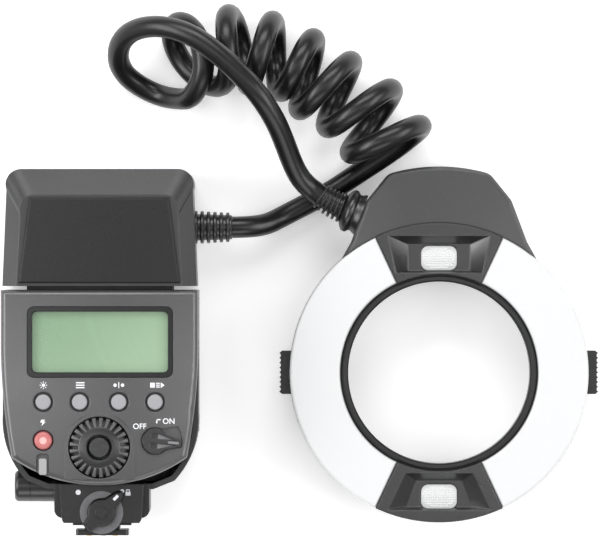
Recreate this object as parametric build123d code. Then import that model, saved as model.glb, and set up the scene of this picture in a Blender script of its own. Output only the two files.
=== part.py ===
from build123d import *
import os
from math import acos, atan2, ceil, cos, degrees, pi, radians, sin, sqrt, tan

# A macro ring flash lying on a table, seen from above: control unit on the left, ring head on
# the right, and one curly cord between them. Lengths are millimetres. The control unit lies on
# its front side, so its display faces up. The ring head lies on its back.

# Where the two halves lie
ring_from_unit = 119.6
ring_above_foot = 58.0

# Shared clearances and small sizes
fit = 0.3
running = 0.05
seat = 0.1
overrun = 1.0
wall = 2.0

# Control unit body
unit_width = 69.0
unit_depth = 57.0
split_z = 35.0
body_top = 87.3
face_break_y = 67.8
face_waist = 66.8
face_waist_y = 47.5
face_hem = 61.2
face_hem_y = 28.5
face_bottom = 18.8
deep_break_y = 43.5
deep_hip = 65.2
deep_hip_y = 30.5
deep_hem = 52.2
deep_hem_y = 20.0
deep_bottom_width = 37.2
deep_bottom = 17.0
face_round = 1.8
back_round = 3.0
body_screw_x = -28.0
body_screw_low = 38.0
body_screw_high = 81.0
body_screw_inner_x = -8.0
body_screw_outer_x = 22.0
body_screw_foot = 24.5
screw_boss_radius = 2.8
screw_boss_height = 5.5

# Fixed head above the body
neck_gap = 1.4
neck_width = 51.0
neck_low_z = 4.0
neck_sink = 6.0
head_height = 41.1
head_foot_width = 68.2
head_brow_width = 65.4
head_brow_drop = 7.3
head_crown_width = 55.0
head_shoulder_in = 1.1
head_shoulder_drop = 1.8
bevel_drop = 5.8
panel_rise = 1.2
bevel_in = 5.0
bevel_top_drop = 9.0
panel_foot_in = 0.7
panel_top_in = 3.15
panel_margin = 1.0

# Display
display_x = 0.3
display_y = 69.1
display_width = 51.1
display_height = 24.8
display_corner = 2.5
bezel_border = 1.6
bezel_flange = 1.2
bezel_depth = 3.0
bezel_sink = 0.3
pane_thick = 1.6
pane_sink = 0.4

# Control board and its switches
board_depth = 11.0
board_thick = 1.6
board_margin = 2.6
board_high = 84.0
post_radius = 1.8
post_low_x = 28.3
post_low_y = 41.5
post_high_x = 30.2
post_high_y = 80.5
tact_side = 5.2
tact_height = 3.6
plunger_radius = 1.6
plunger_height = 1.4
stem_gap = 0.8

# Push buttons on the face
button_y = 48.1
button_inner_x = 6.85
button_outer_x = 19.6
button_radius = 2.7
button_proud = 0.6
button_travel = 0.5
button_flange = 0.7
dish_radius = 3.7
dish_depth = 0.8
stem_radius = 1.5
pilot_x = -19.6
pilot_y = 34.6
pilot_radius = 3.1
pilot_proud = 1.1

# Confirmation lamp beside the pilot button
lamp_x = -19.75
lamp_low = 20.8
lamp_high = 29.9
lamp_slot_width = 4.5
lamp_slot_depth = 1.2
lamp_width = 2.7
lamp_piece_low = 22.6
lamp_piece_high = 28.3

# Select dial and its middle button
dial_x = 0.05
dial_y = 32.15
dial_radius = 10.6
dial_root = 7.4
dial_teeth = 25
dial_proud = 0.9
tooth_height = 2.1
tooth_tip_bevel = 0.5
dial_disc = 2.5
dial_bore = 4.3
dial_hub = 6.0
dial_spigot = 2.0
set_radius = 3.7
set_proud = 0.4
encoder_side = 13.6
encoder_height = 4.0
encoder_bore = 4.7
arch_radius = 12.1
arch_foot = 20.9
arch_raise = 0.4
arch_spread = 0.2

# Power switch
switch_x = 19.6
switch_y = 34.4
switch_radius = 4.5
switch_reach = 9.2
switch_tip_width = 2.2
switch_root_share = 0.8
switch_rib_width = 1.5
switch_thick = 1.9
switch_rest_deg = -5.0
switch_turn_deg = 30.0
switch_sink = 1.0
switch_shaft = 1.5
switch_block = 9.0
switch_block_height = 3.9

# Battery bay, cells and door
cell_radius = 7.15
cell_length = 49.2
cell_nub_radius = 2.75
cell_nub = 1.0
cell_pitch = 15.0
bay_left = -2.0
bay_low = 29.8
bay_wall = 0.9
bay_high = 84.9
contact_thick = 0.5
contact_side = 10.0
door_low_z = 5.0
door_high_z = 33.0
door_top = 84.0
door_bottom = 31.5
rod_radius = 0.6
rod_low = 37.5
rod_high = 83.7
barrel_low = 37.0
knuckle_radius = 1.2
lug_length = 3.0
lug_low = 46.0
lug_high = 76.0
grip_count = 7
grip_pitch = 2.0
grip_depth = 0.4
grip_width = 0.9

# Parts inside the head and body
capacitor_radius = 10.5
capacitor_length = 42.0
capacitor_rim = 0.8
transformer_width = 20.0
transformer_depth = 17.0
transformer_height = 18.0
transformer_bobbin = 12.0
transformer_x = -17.0
transformer_y = 60.0
head_board_z = 26.0
head_board_thick = 1.6
head_board_in = 5.7
head_board_rise = 3.3
head_board_drop = 4.8
spacer_radius = 1.6
spacer_in = 1.4

# Covered socket at the lower left
socket_radius = 5.5
socket_y = 17.8
socket_z = 20.0
socket_right = -15.7
socket_length = 9.4
cap_length = 5.6
cap_round = 1.5
plug_radius = 3.6
plug_length = 4.0
cap_pull = 6.0

# Shoe foot
foot_x = 0.6
foot_z = 28.5
pin_reach = 0.8
shoe_width = 18.6
shoe_length = 18.0
shoe_thick = 2.0
shoe_corner = 1.0
shoe_neck_width = 12.4
shoe_neck_length = 15.0
shoe_neck = 1.6
block_top = 19.1
block_width = 29.5
block_foot_width = 27.7
block_low_z = 12.0
block_depth = 11.0
block_corner = 3.0
collar_width = 20.6
collar_height = 1.0
saddle_width = 33.5
saddle_low = 7.0
saddle_low_z = 9.0
saddle_depth = 16.0
saddle_corner = 3.0
contact_radius = 1.1
contact_hole = 1.5
contact_proud = 0.3
contact_step = 4.6
contact_root = 1.5
lock_pin_radius = 1.0
lock_pin_z = 22.0
lock_pin_length = 12.0
lock_pin_head = 1.8
lock_pin_head_height = 1.5
lock_lift = 1.2

# Lock lever
lever_y = 9.1
lever_radius = 6.4
lever_reach = 10.7
lever_tail = 7.6
lever_rest_deg = 45.8
lever_thick = 3.4
lever_hub = 2.1
lever_hub_proud = 0.7
lever_shaft = 2.0
lever_shaft_length = 21.5
lever_tip_width = 3.2
lever_tail_width = 4.0
washer_radius = 7.6
washer_thick = 0.5

# Cord and its two strain reliefs
cord_diameter = 7.7
relief_rib = 0.75
relief_groove = 0.55
unit_relief_y = 109.5
unit_relief_z = 12.0
unit_relief_length = 13.6
unit_relief_root = 5.9
unit_relief_tip = 5.25
unit_relief_ribs = 6
unit_relief_sink = 1.46
ring_relief_z = 17.0
ring_relief_shift = 2.2
ring_relief_ribs = 6
ring_relief_length = 9.8
ring_relief_tip = 4.7
ring_relief_root = 5.4
ring_bell_radius = 7.8
ring_bell_length = 4.4
ring_base_radius = 7.4
ring_base_length = 2.6

# Ring head
ring_radius = 53.0
ring_depth = 26.0
opening_radius = 32.2
rim_radius = 34.3
rim_skirt_radius = 34.9
rim_face_drop = 3.0
rim_lip = 0.6
adapter_radius = 33.3
adapter_grip = 8.0
adapter_groove = 0.7
adapter_depth = 12.0
rear_plate = 2.0
rear_high = 7.0
web_low = 11.0
web_high = 12.5
frame_wall = 2.0
frame_high = 19.0
wedge_half_deg = 25.0
wedge_face = 25.8
wedge_floor = 21.5
rear_round = 1.5

# Hump over the ring
hump_foot_x = 34.6
hump_foot_y = 40.0
hump_waist_x = 31.1
hump_waist_y = 46.3
hump_side_x = 25.6
hump_side_y = 61.0
hump_shoulder_x = 18.0
hump_shoulder_y = 70.4
hump_shoulder_round = 5.0
hump_reach = 73.0
hump_face = 25.2
hump_split = 12.0
hump_edge = 1.0

# Lamp recesses in the wedges
upper_recess_outer_x = 18.3
upper_recess_outer_y = 48.6
upper_recess_inner_x = 15.4
upper_recess_inner_y = 35.4
upper_floor_x = 11.0
upper_floor_outer_y = 45.4
upper_floor_inner_y = 36.0
lower_recess_inner_x = 12.0
lower_recess_inner_y = -35.4
lower_recess_outer_x = 18.3
lower_recess_outer_y = -48.6
lower_floor_inner_x = 8.0
lower_floor_inner_y = -38.4
lower_floor_outer_x = 11.6
lower_floor_outer_y = -47.8
window_width = 12.7
window_height = 8.8
window_corner = 2.6
window_thick = 1.8
window_proud = 0.5
upper_window_y = 40.5
lower_window_y = -44.0
led_radius = 2.5
led_height = 4.0
led_base = 3.1
led_base_height = 1.0

# Diffusers, flash tubes and reflectors
diffuser_face = 25.4
diffuser_wall = 1.6
diffuser_gap = 0.1
diffuser_round = 1.0
tube_ring_radius = 43.8
tube_radius = 2.3
tube_z = 15.8
tube_half_deg = 58.0
tube_cap_radius = 2.8
tube_cap_deg = 4.0
reflector_half = 5.8
reflector_rise = 5.4
reflector_sheet = 0.5
reflector_half_deg = 60.0

# Ring board
ring_board_inner = 38.5
ring_board_outer = 50.0
ring_board_thick = 1.4

# Lens release latches
latch_low = 8.4
latch_thick = 1.5
latch_inner = 38.0
latch_outer = 43.6
latch_gap = 0.6
latch_travel = 2.0
latch_hook_reach = 0.8
latch_hook_low = 1.2
latch_hook_high = 7.0
release_reach = 56.6
release_height = 15.4
release_low_z = 7.6
release_high_z = 16.4
release_inner = 52.0
release_grip = 1.6
release_ridges = 9
release_ridge = 0.5
spring_sheet = 0.35
spring_folds = 6
spring_low_z = 4.4
spring_high_z = 7.4
spring_low_y = 2.0
spring_high_y = 5.4
spring_post_x = 46.8
spring_post_thick = 1.4

# Screws
screw_radius = 2.0
screw_head = 1.2
screw_shank = 1.0
screw_length = 6.0
screw_sink = 0.5
screw_cross = 0.4
ring_screw_circle = 48.0
ring_boss_radius = 2.4
ring_boss_low = 3.8
ring_screw_count = 4
ring_screw_deg = 35.0

# Positions that follow from the sizes above
unit_half = unit_width / 2
head_top = body_top + neck_gap + head_height
head_foot = body_top + neck_gap
neck_high_z = unit_depth - neck_sink
head_cover_z = unit_depth - panel_rise
head_bevel_z = head_cover_z - bevel_drop
panel_foot_half = head_foot_width / 2 - bevel_in - panel_foot_in
panel_top_half = head_brow_width / 2 - bevel_in - panel_top_in
head_board_half = head_brow_width / 2 - wall - head_board_in
head_board_low = head_foot + head_board_rise
head_board_high = head_top - head_board_drop
board_z = unit_depth - board_depth
block_high_z = unit_depth - block_depth
saddle_high_z = unit_depth - saddle_depth
span_right = ring_from_unit + release_reach
unit_x = (unit_half - span_right) / 2
unit_y = -(ring_above_foot + hump_reach) / 2
ring_x = unit_x + ring_from_unit
ring_y = unit_y + ring_above_foot
board_top = board_z + board_thick
plunger_top = board_top + tact_height + plunger_height
face_inner = unit_depth - wall
shoe_top = pin_reach + shoe_thick
block_bottom = shoe_top + shoe_neck
cord_radius = cord_diameter / 2

# The curly part of the cord: one row for each whole turn, with the turn's number, the coil's
# axis across and along the table, its heading and tilt in degrees, and the mean radius
coil_rows = [
    (0, -43.2, 97.7, 38.3, -40.5, 12.9),
    (1, -45.6, 101.4, 4.0, -50.0, 14.5),
    (2, -26.8, 107.5, 14.0, -3.4, 12.3),
    (3, -15.5, 106.0, -6.9, -4.9, 12.6),
    (4, -1.7, 101.9, -15.0, -1.8, 11.3),
    (5, 7.4, 94.5, -32.2, -4.6, 12.6),
    (6, 20.4, 86.8, -43.1, -2.8, 12.8),
    (7, 29.7, 75.4, -55.8, -1.4, 13.1),
    (8, 36.5, 67.8, -62.4, -2.3, 12.8),
]
coil_first_turn = 0.94
coil_last_turn = 7.5
coil_steps = 8
coil_lift = 0.1
coil_gap_samples = 36

# The free stretches, from each strain relief to the coil: points chosen along the cord's own
# line, between the relief's straight exit and the coil's straight end
unit_stretch_points = [
    (-12.5, 44.9, 7.9),
    (-6.5, 48.0, 4.3),
    (1.6, 52.2, 3.95),
    (10.2, 56.6, 3.95),
    (19.6, 62.9, 3.95),
]
ring_stretch_points = [
    (-1.4, 59.9, 18.5),
    (-2.5, 65.5, 21.5),
    (-5.4, 73.0, 26.2),
    (-9.1, 81.6, 32.0),
    (-14.8, 90.5, 37.2),
    (-22.6, 99.0, 38.0),
    (-31.4, 106.8, 38.0),
    (-40.0, 112.5, 37.0),
    (-49.8, 115.2, 32.8),
    (-58.8, 114.3, 26.0),
    (-64.2, 110.1, 19.5),
    (-65.5, 103.9, 13.0),
    (-63.0, 98.4, 8.0),
    (-57.2, 94.0, 4.6),
    (-50.3, 90.8, 5.0),
    (-44.2, 89.6, 9.5),
    (-39.0, 89.6, 16.3),
]
exit_run_share = 0.6
entry_run_share = 0.5
arc_run_share = 0.45


# Helpers for solids
def prism(outline, low, high):
    return Pos(0, 0, low) * extrude(outline, amount=high - low)


def polygon(points):
    return make_face(Polyline(*points, close=True))


def box_between(low, high):
    size = [abs(b - a) for a, b in zip(low, high)]
    centre = [(a + b) / 2 for a, b in zip(low, high)]
    return Pos(*centre) * Box(*size)


def rod(radius, start, end):
    start = Vector(*start)
    end = Vector(*end)
    plane = Plane(origin=start, z_dir=end - start)
    return extrude(plane * Circle(radius), amount=(end - start).length)


def ring_slab(inner, outer, low, high):
    return prism(Circle(outer) - Circle(inner), low, high)


def sector(inner, outer, middle_deg, half_deg):
    def at(radius, angle):
        return (radius * cos(radians(angle)), radius * sin(radians(angle)))
    first = middle_deg - half_deg
    last = middle_deg + half_deg
    return make_face([
        ThreePointArc(at(outer, first), at(outer, middle_deg), at(outer, last)),
        Line(at(outer, last), at(inner, last)),
        ThreePointArc(at(inner, last), at(inner, middle_deg), at(inner, first)),
        Line(at(inner, first), at(outer, first)),
    ])


def at_unit(shape):
    return Pos(unit_x, unit_y, 0) * shape


def at_ring(shape):
    return Pos(ring_x, ring_y, 0) * shape


def solids_of(*shapes):
    pieces = []
    for shape in shapes:
        pieces += shape.solids()
    return Compound(children=pieces) if len(pieces) > 1 else pieces[0]


# Outlines of the control unit, seen from above
def face_outline(inset=0.0):
    half = unit_half
    waist = face_waist / 2
    hem = face_hem / 2
    outline = make_face([
        Line((-half, body_top), (half, body_top)),
        Line((half, body_top), (half, face_break_y)),
        ThreePointArc((half, face_break_y), (waist, face_waist_y), (hem, face_hem_y)),
        ThreePointArc((hem, face_hem_y), (0, face_bottom), (-hem, face_hem_y)),
        ThreePointArc((-hem, face_hem_y), (-waist, face_waist_y), (-half, face_break_y)),
        Line((-half, face_break_y), (-half, body_top)),
    ])
    return offset(outline, -inset, kind=Kind.INTERSECTION) if inset else outline


def deep_outline(inset=0.0):
    half = unit_half
    hip = deep_hip / 2
    hem = deep_hem / 2
    low = deep_bottom_width / 2
    outline = make_face([
        Line((-half, body_top), (half, body_top)),
        Line((half, body_top), (half, deep_break_y)),
        ThreePointArc((half, deep_break_y), (hip, deep_hip_y), (hem, deep_hem_y)),
        Line((hem, deep_hem_y), (low, deep_bottom)),
        Line((low, deep_bottom), (-low, deep_bottom)),
        Line((-low, deep_bottom), (-hem, deep_hem_y)),
        ThreePointArc((-hem, deep_hem_y), (-hip, deep_hip_y), (-half, deep_break_y)),
        Line((-half, deep_break_y), (-half, body_top)),
    ])
    return offset(outline, -inset, kind=Kind.INTERSECTION) if inset else outline


def head_outline(inset, top_drop):
    foot = head_foot_width / 2 - inset
    brow = head_brow_width / 2 - inset
    crown = head_crown_width / 2 - inset
    top = head_top - top_drop
    brow_y = top - head_brow_drop
    shoulder = (brow - head_shoulder_in, top - head_shoulder_drop)
    return make_face([
        Line((-foot, head_foot), (foot, head_foot)),
        Line((foot, head_foot), (brow, brow_y)),
        ThreePointArc((brow, brow_y), shoulder, (crown, top)),
        Line((crown, top), (-crown, top)),
        ThreePointArc((-crown, top), (-shoulder[0], shoulder[1]), (-brow, brow_y)),
        Line((-brow, brow_y), (-foot, head_foot)),
    ])


def button_places():
    return {
        "backlight_button": (-button_outer_x, button_y),
        "mode_button": (-button_inner_x, button_y),
        "ratio_button": (button_inner_x, button_y),
        "lamp_button": (button_outer_x, button_y),
    }


def switch_places():
    places = list(button_places().values())
    return places + [(pilot_x, pilot_y), (dial_x, dial_y)]


# Battery door and the hinge that it turns on
def door_band(clearance):
    band = deep_outline() - deep_outline(wall + clearance)
    low = door_bottom - clearance
    high = door_top + clearance
    reach = unit_half + overrun
    return band & polygon([(0, low), (reach, low), (reach, high), (0, high)])


def rod_place():
    return (unit_half - knuckle_radius, door_low_z + knuckle_radius)


def battery_door():
    x, z = rod_place()
    door = prism(door_band(0.0), z, door_high_z)
    door += box_between(
        (x - knuckle_radius, barrel_low, z), (unit_half, door_top, z + knuckle_radius)) & deep_space()
    door += rod(knuckle_radius, (x, barrel_low, z), (x, door_top, z))
    for low in (lug_low, lug_high):
        door -= box_between(
            (x - cell_radius, low - fit, door_low_z - overrun),
            (unit_half + overrun, low + lug_length + fit, z + knuckle_radius + fit))
    door -= rod(rod_radius + running, (x, barrel_low - overrun, z), (x, door_top + overrun, z))
    middle = (lug_low + lug_high + lug_length) / 2
    high_z = door_high_z - wall
    for index in range(grip_count):
        y = middle + (index - (grip_count - 1) / 2) * grip_pitch
        door -= box_between(
            (unit_half - grip_depth, y - grip_width / 2, (z + high_z) / 2),
            (unit_half + overrun, y + grip_width / 2, high_z))
    return at_unit(door)


def deep_space():
    return prism(deep_outline(), 0, split_z)


def hinge_rod():
    x, z = rod_place()
    return at_unit(rod(rod_radius, (x, rod_low, z), (x, rod_high, z)))


def hinge_lugs():
    x, z = rod_place()
    lugs = None
    for low in (lug_low, lug_high):
        eye = rod(knuckle_radius, (x, low, z), (x, low + lug_length, z))
        web = box_between(
            (x - knuckle_radius, low, door_low_z - wall), (unit_half, low + lug_length, z))
        lugs = eye + web if lugs is None else lugs + eye + web
    return lugs


# Control unit shells
def front_housing():
    shell = prism(deep_outline(), 0, split_z)
    shell = fillet(shell.faces().sort_by(Axis.Z)[0].edges(), back_round)
    shell -= prism(deep_outline(wall), wall, split_z + overrun)
    x, z = rod_place()
    opening = prism(door_band(fit), door_low_z - fit, door_high_z + fit)
    opening -= box_between(
        (0, door_bottom - overrun, 0),
        (unit_half + overrun, barrel_low - fit, z - knuckle_radius))
    shell -= opening
    shell += hinge_lugs()
    shell -= rod(rod_radius, (x, rod_low, z), (x, rod_high, z))
    for sx, sy in body_screw_places():
        shell += Pos(sx, sy, wall) * extrude(Circle(screw_boss_radius), amount=screw_boss_height)
        shell -= screw_space(sx, sy)
    shell -= socket_bore()
    return at_unit(shell)


def body_screw_places():
    return [
        (body_screw_x, body_screw_low),
        (body_screw_x, body_screw_high),
        (body_screw_inner_x, body_screw_foot),
        (body_screw_outer_x, body_screw_foot),
    ]


def screw_space(x, y):
    head = Pos(x, y, -overrun) * extrude(
        Circle(screw_radius + seat), amount=overrun + screw_sink + screw_head)
    shank = Pos(x, y, 0) * extrude(
        Circle(screw_shank + seat), amount=screw_sink + screw_length + seat)
    return head + shank


def socket_bore():
    left = socket_right - socket_length
    barrel = rod(socket_radius, (socket_right, socket_y, socket_z), (left, socket_y, socket_z))
    cap = rod(
        socket_radius + fit, (left, socket_y, socket_z),
        (left - cap_length - cap_pull - overrun, socket_y, socket_z))
    return barrel + cap


def dished_bore(x, y, radius, rim):
    bore = Pos(x, y, face_inner - overrun) * extrude(Circle(radius), amount=wall + 3 * overrun)
    low = Plane.XY.offset(unit_depth - dish_depth) * Pos(x, y) * Circle(radius)
    high = Plane.XY.offset(unit_depth) * Pos(x, y) * Circle(rim)
    return bore + loft([low, high])


def arch_outline(radius, foot):
    left = dial_x - radius
    right = dial_x + radius
    spread = arch_spread
    return make_face([
        ThreePointArc((left, dial_y), (dial_x, dial_y + radius), (right, dial_y)),
        Line((right, dial_y), (right + spread, foot)),
        Line((right + spread, foot), (left - spread, foot)),
        Line((left - spread, foot), (left, dial_y)),
    ])


def switch_lever(grow=0.0):
    half_tip = switch_tip_width / 2
    root = switch_radius * switch_root_share
    lever = polygon([
        (0, -root), (switch_reach, -half_tip), (switch_reach, half_tip), (0, root)])
    return offset(lever, grow) if grow else lever


def switch_pocket():
    middle = switch_rest_deg + switch_turn_deg / 2
    fan = sector(switch_radius / 2, switch_reach + fit, middle, switch_turn_deg / 2)
    fan += Circle(switch_radius + fit)
    for turn in (0, switch_turn_deg / 2, switch_turn_deg):
        fan += Rot(0, 0, switch_rest_deg + turn) * switch_lever(fit)
    return Pos(switch_x, switch_y, unit_depth - switch_sink) * extrude(fan, amount=2 * overrun)


def lever_sweep():
    reach = lever_reach + fit
    return Pos(foot_x, lever_y, block_high_z) * Cylinder(
        reach, lever_thick + lever_hub_proud + 2 * fit, align=(Align.CENTER, Align.CENTER, Align.MIN))


def rear_housing():
    shell = prism(face_outline(), split_z, unit_depth)
    shell = fillet(shell.faces().sort_by(Axis.Z)[-1].edges(), face_round)
    shell += prism(arch_outline(arch_radius, arch_foot), unit_depth - arch_raise, unit_depth + arch_raise)
    shell -= prism(face_outline(wall), split_z - overrun, face_inner)
    for x, y in post_places():
        shell += Pos(x, y, board_top) * extrude(Circle(post_radius), amount=unit_depth - wall / 2 - board_top)
    opening = RectangleRounded(display_width + 2 * seat, display_height + 2 * seat, display_corner + seat)
    shell -= prism(Pos(display_x, display_y) * opening, face_inner - overrun, unit_depth + overrun)
    for x, y in button_places().values():
        shell -= dished_bore(x, y, button_radius + fit, dish_radius)
    shell -= dished_bore(pilot_x, pilot_y, pilot_radius + fit, dish_radius)
    shell -= prism(
        Pos(dial_x, dial_y) * Circle(dial_radius + fit), face_inner - overrun, unit_depth + 2 * overrun)
    shell -= switch_pocket()
    shell -= Pos(switch_x, switch_y, face_inner - overrun) * extrude(
        Circle(switch_shaft + running), amount=wall + overrun)
    slot_middle = (lamp_low + lamp_high) / 2
    slot = Pos(lamp_x, slot_middle) * RectangleRounded(
        lamp_slot_width, lamp_high - lamp_low, lamp_slot_width / 3)
    shell -= prism(slot, unit_depth - lamp_slot_depth, unit_depth + overrun)
    shell -= lever_sweep()
    return at_unit(shell)


def post_places():
    return [
        (side * x, y) for side in (-1, 1)
        for x, y in ((post_low_x, post_low_y), (post_high_x, post_high_y))
    ]


def head_neck():
    half = neck_width / 2
    return at_unit(box_between((-half, body_top, neck_low_z), (half, head_foot, neck_high_z)))


def head_housing():
    shell = prism(head_outline(0.0, 0.0), 0, split_z)
    shell = fillet(shell.faces().sort_by(Axis.Z)[0].edges(), back_round)
    inner = head_outline(wall, wall) & polygon([
        (-unit_half, head_foot + wall), (unit_half, head_foot + wall),
        (unit_half, head_top), (-unit_half, head_top)])
    shell -= prism(inner, wall, split_z + overrun)
    root = (unit_relief_root_x(), unit_relief_y, unit_relief_z)
    away = (unit_half + overrun, unit_relief_y, unit_relief_z)
    shell -= rod(unit_relief_root + seat, root, away)
    return at_unit(shell)


def head_cover():
    shell = prism(head_outline(0.0, 0.0), split_z, head_bevel_z)
    low = Plane.XY.offset(head_bevel_z) * head_outline(0.0, 0.0)
    high = Plane.XY.offset(head_cover_z) * head_outline(bevel_in, bevel_top_drop)
    shell += loft([low, high], ruled=True)
    inner = head_outline(bevel_in, bevel_top_drop) & polygon([
        (-unit_half, head_foot + wall), (unit_half, head_foot + wall),
        (unit_half, head_top), (-unit_half, head_top)])
    shell -= prism(inner, split_z - overrun, head_cover_z - wall)
    return at_unit(shell)


def head_panel():
    foot = panel_foot_half
    top = panel_top_half
    top_y = head_top - bevel_top_drop - panel_margin
    outline = polygon([
        (-foot, head_foot + panel_margin), (foot, head_foot + panel_margin),
        (top, top_y), (-top, top_y)])
    panel = prism(outline, head_cover_z, unit_depth)
    return at_unit(chamfer(panel.faces().sort_by(Axis.Z)[-1].edges(), (unit_depth - head_cover_z) / 2))


# Display
def display_frame(width_less, height_less, corner):
    shape = RectangleRounded(display_width - width_less, display_height - height_less, corner)
    return Pos(display_x, display_y) * shape


def display_bezel():
    inner = display_frame(2 * bezel_border, 2 * bezel_border, display_corner - bezel_border / 2)
    top = unit_depth - bezel_sink
    flange = display_frame(-2 * bezel_flange, -2 * bezel_flange, display_corner + bezel_flange)
    bezel = prism(display_frame(0, 0, display_corner) - inner, top - bezel_depth, top)
    bezel += prism(flange - inner, top - bezel_depth, face_inner)
    return at_unit(bezel)


def display_window():
    less = 2 * (bezel_border + seat)
    top = unit_depth - bezel_sink - pane_sink
    return at_unit(prism(
        display_frame(less, less, display_corner - bezel_border / 2), top - pane_thick, top))


def display_module():
    less = 2 * (bezel_border + 2 * seat)
    top = unit_depth - bezel_sink - pane_sink - pane_thick
    return at_unit(prism(
        display_frame(less, less, display_corner - bezel_border / 2), board_top, top))


# Board and switches
def main_board():
    outline = face_outline(board_margin) & polygon([
        (-unit_half, 0), (unit_half, 0), (unit_half, board_high), (-unit_half, board_high)])
    return at_unit(prism(outline, board_z, board_top))


def tact_switches():
    pieces = []
    for x, y in switch_places():
        base = Pos(x, y, board_top) * extrude(Rectangle(tact_side, tact_side), amount=tact_height)
        tip = Pos(x, y, board_top + tact_height) * extrude(Circle(plunger_radius), amount=plunger_height)
        pieces.append(base + tip)
    return at_unit(solids_of(*pieces))


def dial_encoder():
    body = extrude(Rectangle(encoder_side, encoder_side) - Circle(encoder_bore), amount=encoder_height)
    return at_unit(Pos(dial_x, dial_y, board_top) * body)


def power_slider():
    body = Pos(switch_x, switch_y, board_top) * extrude(
        Rectangle(switch_block, switch_block), amount=switch_block_height)
    return at_unit(body)


# Buttons
def push_button(x, y, radius, proud):
    top = unit_depth + proud
    low = plunger_top + stem_gap
    flange_top = face_inner - fit
    cap = Pos(x, y, flange_top) * extrude(Circle(radius), amount=top - flange_top)
    cap = fillet(cap.faces().sort_by(Axis.Z)[-1].edges(), proud)
    flange = Pos(x, y, flange_top - button_flange) * extrude(
        Circle(radius + 2 * fit + seat), amount=button_flange)
    stem = Pos(x, y, low) * extrude(Circle(stem_radius), amount=flange_top - low)
    return at_unit(cap + flange + stem)


def tooth_outline():
    step = 360 / dial_teeth
    wide = step * 0.30
    narrow = step * 0.16
    tip = dial_radius - tooth_tip_bevel

    def at(radius, angle):
        return (radius * cos(radians(angle)), radius * sin(radians(angle)))
    return polygon([
        at(dial_root, -wide), at(tip, -narrow), at(dial_radius, 0), at(tip, narrow), at(dial_root, wide)])


def select_dial():
    top = unit_depth + dial_proud
    low = top - tooth_height
    body = ring_slab(dial_bore, dial_root, low, top)
    body += ring_slab(dial_bore, dial_radius - tooth_tip_bevel, low - dial_disc, low)
    encoder_top = board_top + encoder_height
    body += ring_slab(dial_bore, dial_hub, encoder_top + fit, low)
    body += ring_slab(dial_bore, encoder_bore - running, encoder_top - dial_spigot, low)
    teeth = [
        Rot(0, 0, 360 / dial_teeth * index) * prism(tooth_outline(), low - seat, top - seat)
        for index in range(dial_teeth)
    ]
    return at_unit(Pos(dial_x, dial_y, 0) * body.fuse(*teeth))


def set_button():
    top = unit_depth + set_proud
    low = plunger_top + stem_gap
    cap = Pos(dial_x, dial_y, low) * extrude(Circle(set_radius), amount=top - low)
    return at_unit(chamfer(cap.faces().sort_by(Axis.Z)[-1].edges(), set_proud))


def confirm_lamp():
    middle = (lamp_piece_low + lamp_piece_high) / 2
    shape = RectangleRounded(lamp_width, lamp_piece_high - lamp_piece_low, lamp_width / 4)
    floor = unit_depth - lamp_slot_depth
    return at_unit(Pos(lamp_x, middle, floor) * extrude(shape, amount=lamp_slot_depth - seat))


def power_switch():
    low = unit_depth - switch_sink + fit
    top = low + switch_thick
    disc = prism(Circle(switch_radius), low, top)
    root = switch_radius * switch_root_share
    body = disc + prism(switch_lever(), low, top)
    rib = switch_rib_width / 2
    floor = top - switch_thick * 0.5
    for side in (-1, 1):
        pocket = polygon([
            (-switch_radius * 0.35, side * rib),
            (switch_reach * 0.8, side * rib),
            (switch_radius * 0.3, side * root * 0.75),
            (-switch_radius * 0.35, side * root * 0.75)])
        body -= prism(pocket, floor, top + overrun)
    shaft_low = board_top + switch_block_height + fit
    body += prism(Circle(switch_shaft), shaft_low, low)
    return at_unit(Pos(switch_x, switch_y, 0) * Rot(0, 0, switch_rest_deg) * body)


# Battery holder, cells and contacts
def cell_places():
    first_x = bay_left + bay_wall + cell_pitch / 2
    first_z = wall + bay_wall + cell_pitch / 2
    return [(first_x + i * cell_pitch, first_z + j * cell_pitch) for i in (0, 1) for j in (0, 1)]


def battery_holder():
    right = bay_left + bay_wall + 2 * cell_pitch
    top = wall + 2 * bay_wall + 2 * cell_pitch
    holder = box_between((bay_left, bay_low, wall), (right, bay_high, top))
    for x, z in cell_places():
        low = bay_low + bay_wall
        high = bay_high - bay_wall
        holder -= rod(cell_radius + fit, (x, low, z), (x, high, z))
        holder -= box_between(
            (x, low, z - cell_radius), (right + overrun, high, z + cell_radius))
    return at_unit(holder)


def battery_cells():
    cells = []
    low = (bay_low + bay_high - cell_length - cell_nub) / 2
    for index, (x, z) in enumerate(cell_places()):
        body = rod(cell_radius, (x, low, z), (x, low + cell_length, z))
        nub = rod(cell_nub_radius, (x, low + cell_length, z), (x, low + cell_length + cell_nub, z))
        cells.append(body + nub)
    return at_unit(solids_of(*cells))


def battery_contacts():
    pieces = []
    half = contact_side / 2
    cell_low = (bay_low + bay_high - cell_length - cell_nub) / 2
    low = bay_low + bay_wall
    high = bay_high - bay_wall
    for x, z in cell_places():
        plate = box_between((x - half, low, z - half), (x + half, low + contact_thick, z + half))
        plane = Plane(origin=(x, low + contact_thick, z), z_dir=(0, 1, 0))
        rise = cell_low - low - contact_thick
        cone = loft([plane * Circle(half * 0.8), plane.offset(rise) * Circle(half * 0.4)])
        pieces.append(plate + cone)
        end = box_between((x - half, high - contact_thick, z - half), (x + half, high, z + half))
        nub_top = cell_low + cell_length + cell_nub
        boss = rod(cell_nub_radius * 0.8, (x, nub_top, z), (x, high - contact_thick, z))
        pieces.append(end + boss)
    return at_unit(solids_of(*pieces))


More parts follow.
